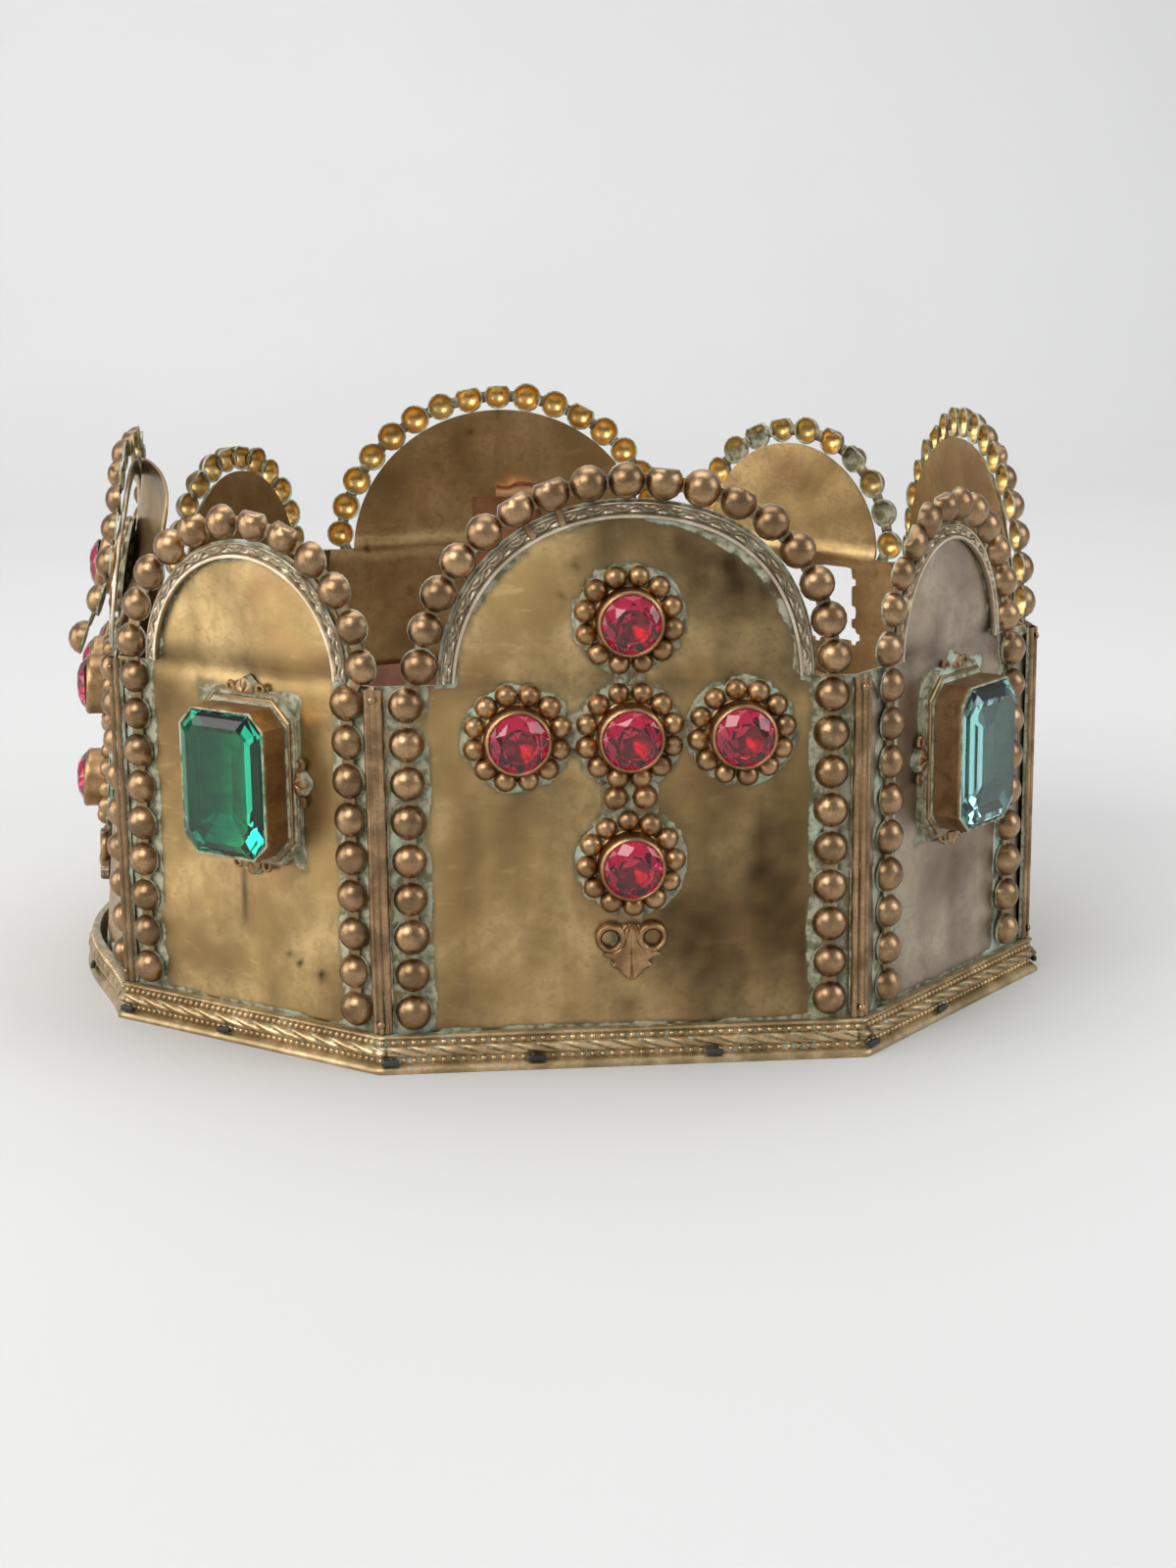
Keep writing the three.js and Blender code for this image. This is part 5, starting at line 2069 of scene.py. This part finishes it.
@dataclass
class BoxSetting:
    """Rectangular step-cut stone in a box on a stepped plate, with a palmette on each side."""

    kit: Kit
    side: Side

    # Width, height, cut at the corners and level of each outline
    ROWS = (
        (31.0, 43.0, 6.0, -0.6), (31.0, 43.0, 6.0, 1.0), (30.4, 42.4, 5.8, 1.3), (28.9, 40.4, 5.3, 1.35),
        (28.7, 40.1, 5.2, 2.2), (28.2, 39.4, 5.1, 2.5), (27.0, 37.2, 4.5, 2.6), (26.7, 36.7, 4.3, 3.2),
        (26.6, 36.6, 4.2, 9.6), (26.6, 36.6, 4.2, 10.1), (26.3, 36.3, 4.1, 10.6), (25.8, 35.8, 4.0, 10.75),
        (25.3, 35.3, 3.9, 10.65), (25.1, 35.1, 3.9, 10.2), (25.1, 35.1, 3.9, 7.0), (25.1, 35.1, 3.9, 0.9),
    )
    STONE = (
        (24.8, 34.8, 3.6, 10.45), (24.8, 34.8, 3.6, 10.8), (22.8, 32.8, 3.2, 11.9), (18.6, 28.6, 2.6, 12.9),
        (21.5, 31.5, 3.2, 9.0), (15.0, 25.0, 2.2, 8.0), (5.0, 15.0, 0.6, 7.4),
    )
    # Verdigris at each of the setting's outlines
    DIRT = (0.95, 0.7, 0.6, 0.85, 0.45, 0.5, 0.95, 0.5, 0.05, 0.4, 0.75, 0.8, 0.75, 0.5, 0.0, 0.0)
    WINDOW_FLOOR = 6.3

    def build(self) -> None:
        """Builds and shows the setting and its stone."""
        side = self.side
        palette = self.kit.palette
        name = f"stone_setting_{side.name}"
        back = palette.copper if side.window else palette.foil
        piece = Piece(f"{name}_look", [name], "setting_copper_brown", [palette.setting, back], 30.0)
        self._box(piece)
        for i in range(4):
            self._palmette(piece, i)
        if side.window:
            self._flap(piece)
        seam = Matrix.Translation((13.2, 0, 3.2)) @ Matrix.Diagonal((0.5, 1.1, 6.0, 1))
        piece.stamp(self.kit.shapes.block, seam, lambda co: 0.2)
        bmesh.ops.translate(piece.bm, vec=(side.gem_shift, side.block_centre, 0), verts=piece.bm.verts)
        piece.show(self.kit.place @ side.matrix())
        self._stone()

    def _box(self, piece: Piece) -> None:
        """Adds the plate and box.

        Args:
            piece: The setting's piece.
        """
        outlines = [cut_corners(w, h, c) for w, h, c, _ in self.ROWS]
        rows = len(self.ROWS) - 1

        def place(s: float, t: float) -> Point:
            row = round(t * rows)
            x, y = outlines[row][round(s * 8) % 8]
            return x, y, self.ROWS[row][3]

        def dirt(s: float, t: float) -> float:
            return self.DIRT[round(t * rows)]

        verts = piece.surface(8, rows, place, dirt)
        foot = [vert for vert in verts if abs(vert.co.z - 0.9) < 0.01 and vert.is_boundary]
        if self.side.window:
            self._window_floor(piece)
            return
        before = len(piece.bm.faces)
        piece.close(foot)
        piece.bm.faces.ensure_lookup_table()
        for face in piece.bm.faces[before:]:
            face.material_index = 1

    def _window_floor(self, piece: Piece) -> None:
        """Adds the copper floor that is seen through the window in the sheet.

        Args:
            piece: The setting's piece.
        """
        outline = cut_corners(25.0, 35.0, 3.9)

        def place(s: float, t: float) -> Point:
            x, y = outline[round(s * 8) % 8]
            shrink, height = ((0.0, 0.0), (1.0, 0.0), (1.0, 0.5), (0.0, 0.5))[round(t * 3)]
            return x * shrink, y * shrink, self.WINDOW_FLOOR + height

        piece.surface(8, 3, place, slot=1)

    def _palmette(self, piece: Piece, index: int) -> None:
        """Adds one fluted shell with a small curl on each side.

        Args:
            piece: The setting's piece.
            index: Number of quarter turns from the top.
        """
        before = len(piece.bm.verts)

        def ridge(s: float) -> float:
            return abs(math.cos(2.5 * math.pi * (s - 0.5)))

        def shell(s: float, t: float) -> Point:
            angle = math.pi * s
            radius = 4.1 * t * (0.88 + 0.12 * ridge(s))
            dome = math.sqrt(max(0.0, 1 - (0.92 * t) ** 2))
            height = -0.4 if t > 0.99 else 0.6 + 1.5 * (0.8 + 0.2 * ridge(s)) * dome
            return radius * 0.85 * math.cos(angle), radius * math.sin(angle) + 0.4, height

        piece.surface(20, 7, shell, lambda s, t: 0.9 * t**3 + 0.5 * (1 - ridge(s)))
        for sign in (-1, 1):

            def curl(s: float, t: float, side: int = sign) -> Point:
                angle, around = 2 * math.pi * s, 2 * math.pi * t
                radius = 1.15 + 0.55 * math.cos(around)
                x = side * 4.6 + radius * math.cos(angle)
                return x, 1.3 + radius * math.sin(angle), 0.7 + 0.6 * math.sin(around)

            piece.surface(12, 6, curl, lambda s, t: 0.4)
        reach = PLATE_HALF_TALL if index % 2 == 0 else PLATE_HALF_WIDE
        turn = Matrix.Rotation(index * math.pi / 2, 4, "Z")
        place = turn @ Matrix.Translation((0, reach - 0.9, 0))
        bmesh.ops.transform(piece.bm, matrix=place, verts=piece.added(before))

    def _flap(self, piece: Piece) -> None:
        """Adds the torn tongue of copper that is bent in over the window's top.

        Args:
            piece: The setting's piece.
        """

        def place(s: float, t: float) -> Point:
            x = -9.0 + 12.6 * s
            torn = 5.2 + 1.4 * wander(x, 0, 2.0, 3.0)
            curl = 1.5 * t
            return x, 15.8 + torn * math.sin(curl) * 0.9, -1.2 - torn * (1 - math.cos(curl))

        grid = piece.surface(16, 6, place, slot=1)
        faces = {face for vert in grid for face in vert.link_faces}
        skin = bmesh.ops.extrude_face_region(piece.bm, geom=list(faces), use_keep_orig=True)["geom"]
        bmesh.ops.translate(
            piece.bm, vec=(0, 0.2, -0.5), verts=[g for g in skin if isinstance(g, bmesh.types.BMVert)]
        )

    def _stone(self) -> None:
        """Builds and shows the step-cut stone."""
        side = self.side
        name = f"stone_{side.name}"
        glass = self.kit.palette.aqua if side.name == "front_right" else self.kit.palette.emerald
        piece = Piece(f"{name}_look", [name], "green_glass", [glass], 0.5)
        hull(piece, [(x, y, z) for w, h, c, z in self.STONE for x, y in cut_corners(w, h, c)])
        bmesh.ops.translate(piece.bm, vec=(side.gem_shift, side.block_centre, 0), verts=piece.bm.verts)
        piece.show(self.kit.place @ side.matrix())


@dataclass(frozen=True)
class Lamp:
    """Square soft light."""

    name: str
    at: Point
    size: float
    power: float
    colour: Colour
    aim: Point = (0.0, 0.0, 0.06)

    def build(self) -> None:
        """Adds the light."""
        data = bpy.data.lights.new(self.name, "AREA")
        data.size = self.size
        data.energy = self.power
        data.color = self.colour
        lamp = bpy.data.objects.new(self.name, data)
        lamp.location = self.at
        ahead = Vector(self.aim) - Vector(self.at)
        lamp.rotation_euler = ahead.to_track_quat("-Z", "Y").to_euler()
        bpy.context.scene.collection.objects.link(lamp)


@dataclass
class Studio:
    """Floor, backdrop, lights and camera."""

    place: Matrix
    turn: float = math.radians(7.40)
    down: float = math.radians(13.31)
    roll: float = math.radians(0.66)
    distance: float = 739.15
    aim: tuple[float, float] = (8.55, 42.33)
    lens: float = 60.19

    LAMPS = (
        Lamp("key", (-1.0, -1.15, 1.25), 1.0, 18.0, (1.0, 0.985, 0.96)),
        Lamp("side", (-1.6, -0.15, 0.5), 1.2, 11.0, (1.0, 0.99, 0.97)),
        Lamp("fill", (1.35, -0.55, 0.75), 0.9, 7.0, (0.93, 0.97, 1.0)),
        Lamp("top", (0.1, 0.35, 1.6), 1.6, 9.0, (1.0, 1.0, 1.0)),
        Lamp("backdrop", (0.0, 0.3, 1.9), 1.4, 13.0, (1.0, 1.0, 1.0), (0.0, 1.5, 0.7)),
    )
    AIR = (0.93, 0.95, 1.0, 1.0)
    AIR_STRENGTH = 0.5
    SWEEP_WIDTH = 8.0
    SWEEP_WAY = 6.0
    SWEEP_FRONT = -1.9
    SWEEP_FLAT = 2.9
    SWEEP_BEND = 0.5

    def build(self) -> None:
        """Sets up the studio."""
        self._sweep()
        self._camera()
        for lamp in self.LAMPS:
            lamp.build()
        world = bpy.data.worlds.new("studio air")
        world.use_nodes = True
        background = world.node_tree.nodes["Background"]
        background.inputs["Color"].default_value = self.AIR
        background.inputs["Strength"].default_value = self.AIR_STRENGTH
        bpy.context.scene.world = world
        bpy.context.scene.view_settings.view_transform = "Standard"

    def _sweep(self) -> None:
        """Adds the floor, which curves up into a backdrop."""
        bm = bmesh.new()
        bmesh.ops.create_grid(bm, x_segments=1, y_segments=48, size=0.5)
        flat, radius = self.SWEEP_FLAT, self.SWEEP_BEND
        for vert in bm.verts:
            way = self.SWEEP_WAY * (vert.co.y + 0.5)
            bend = min(math.pi / 2, max(0.0, (way - flat) / radius))
            rise = max(0.0, way - flat - radius * math.pi / 2)
            y = self.SWEEP_FRONT + min(way, flat) + radius * math.sin(bend)
            vert.co = (self.SWEEP_WIDTH * vert.co.x, y, radius * (1 - math.cos(bend)) + rise)
        for face in bm.faces:
            face.smooth = True
        mesh = bpy.data.meshes.new("sweep")
        bm.to_mesh(mesh)
        bm.free()
        paper = PlainFinish("pale studio paper", (0.6, 0.6, 0.59), (0.59, 0.59, 0.58), 0.75, 3.0, 0.0)
        mesh.materials.append(paper.build())
        floor = bpy.data.objects.new("studio_sweep", mesh)
        bpy.context.scene.collection.objects.link(floor)

    def _camera(self) -> None:
        """Adds the camera."""
        s, c = math.sin(self.turn), math.cos(self.turn)
        ahead = Vector((s * math.cos(self.down), c * math.cos(self.down), -math.sin(self.down)))
        right = Vector((c, -s, 0))
        up = right.cross(ahead)
        across = right * math.cos(self.roll) - up * math.sin(self.roll)
        upward = right * math.sin(self.roll) + up * math.cos(self.roll)
        at = right * self.aim[0] + Vector((0, 0, self.aim[1])) - ahead * self.distance
        data = bpy.data.cameras.new("camera")
        data.sensor_width = 36.0
        data.lens = self.lens
        data.clip_start = 0.05
        camera = bpy.data.objects.new("camera", data)
        turn = Matrix((across, upward, -ahead)).transposed().to_4x4()
        camera.matrix_world = Matrix.Translation(self.place @ at) @ turn
        bpy.context.scene.collection.objects.link(camera)
        bpy.context.scene.camera = camera


@dataclass
class Crown:
    """The whole crown."""

    sides: Sequence[Side] = field(default_factory=make_sides)

    def place(self) -> Matrix:
        """Finds where the octagon stands in the frame, from the head band.

        Returns:
            Turns the octagon's millimetres into the frame's metres.
        """
        low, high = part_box("head_band")
        face = HeadBand.PROFILE[0][0]
        points = [p + out * face for p, out, _ in WallPath(self.sides, 40.0, False).stations()]
        middle = [
            (min(p[i] for p in points) + max(p[i] for p in points)) / 2 * MM for i in range(2)
        ]
        shift = Vector(((low.x + high.x) / 2 - middle[0], (low.y + high.y) / 2 - middle[1], 0))
        LOG.info("octagon stands %.3f, %.3f mm off", shift.x / MM, shift.y / MM)
        return Matrix.Translation(shift) @ Matrix.Scale(MM, 4)

    def build(self) -> Matrix:
        """Builds and shows every piece.

        Returns:
            The octagon's place.
        """
        kit = Kit(Palette(), Shapes(), self.place())
        BaseTrim(kit, self.sides).build()
        HeadBand(kit, self.sides).build()
        for i, side in enumerate(self.sides):
            Panel(kit, side).build()
            ArchBand(kit, side).build()
            BeadBorder(kit, side).build()
            CornerPost(kit, self.sides[i - 1], side).build()
            if side.gems is Gems.CROSS:
                RubyCross(kit, side).build()
            if side.gems is Gems.BLOCK:
                BoxSetting(kit, side).build()
            LOG.info("built side %s", side.name)
        return kit.place


def main() -> None:
    logging.basicConfig(level=logging.INFO)
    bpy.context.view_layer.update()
    place = Crown().build()
    Studio(place).build()


if __name__ == "__main__":
    main()
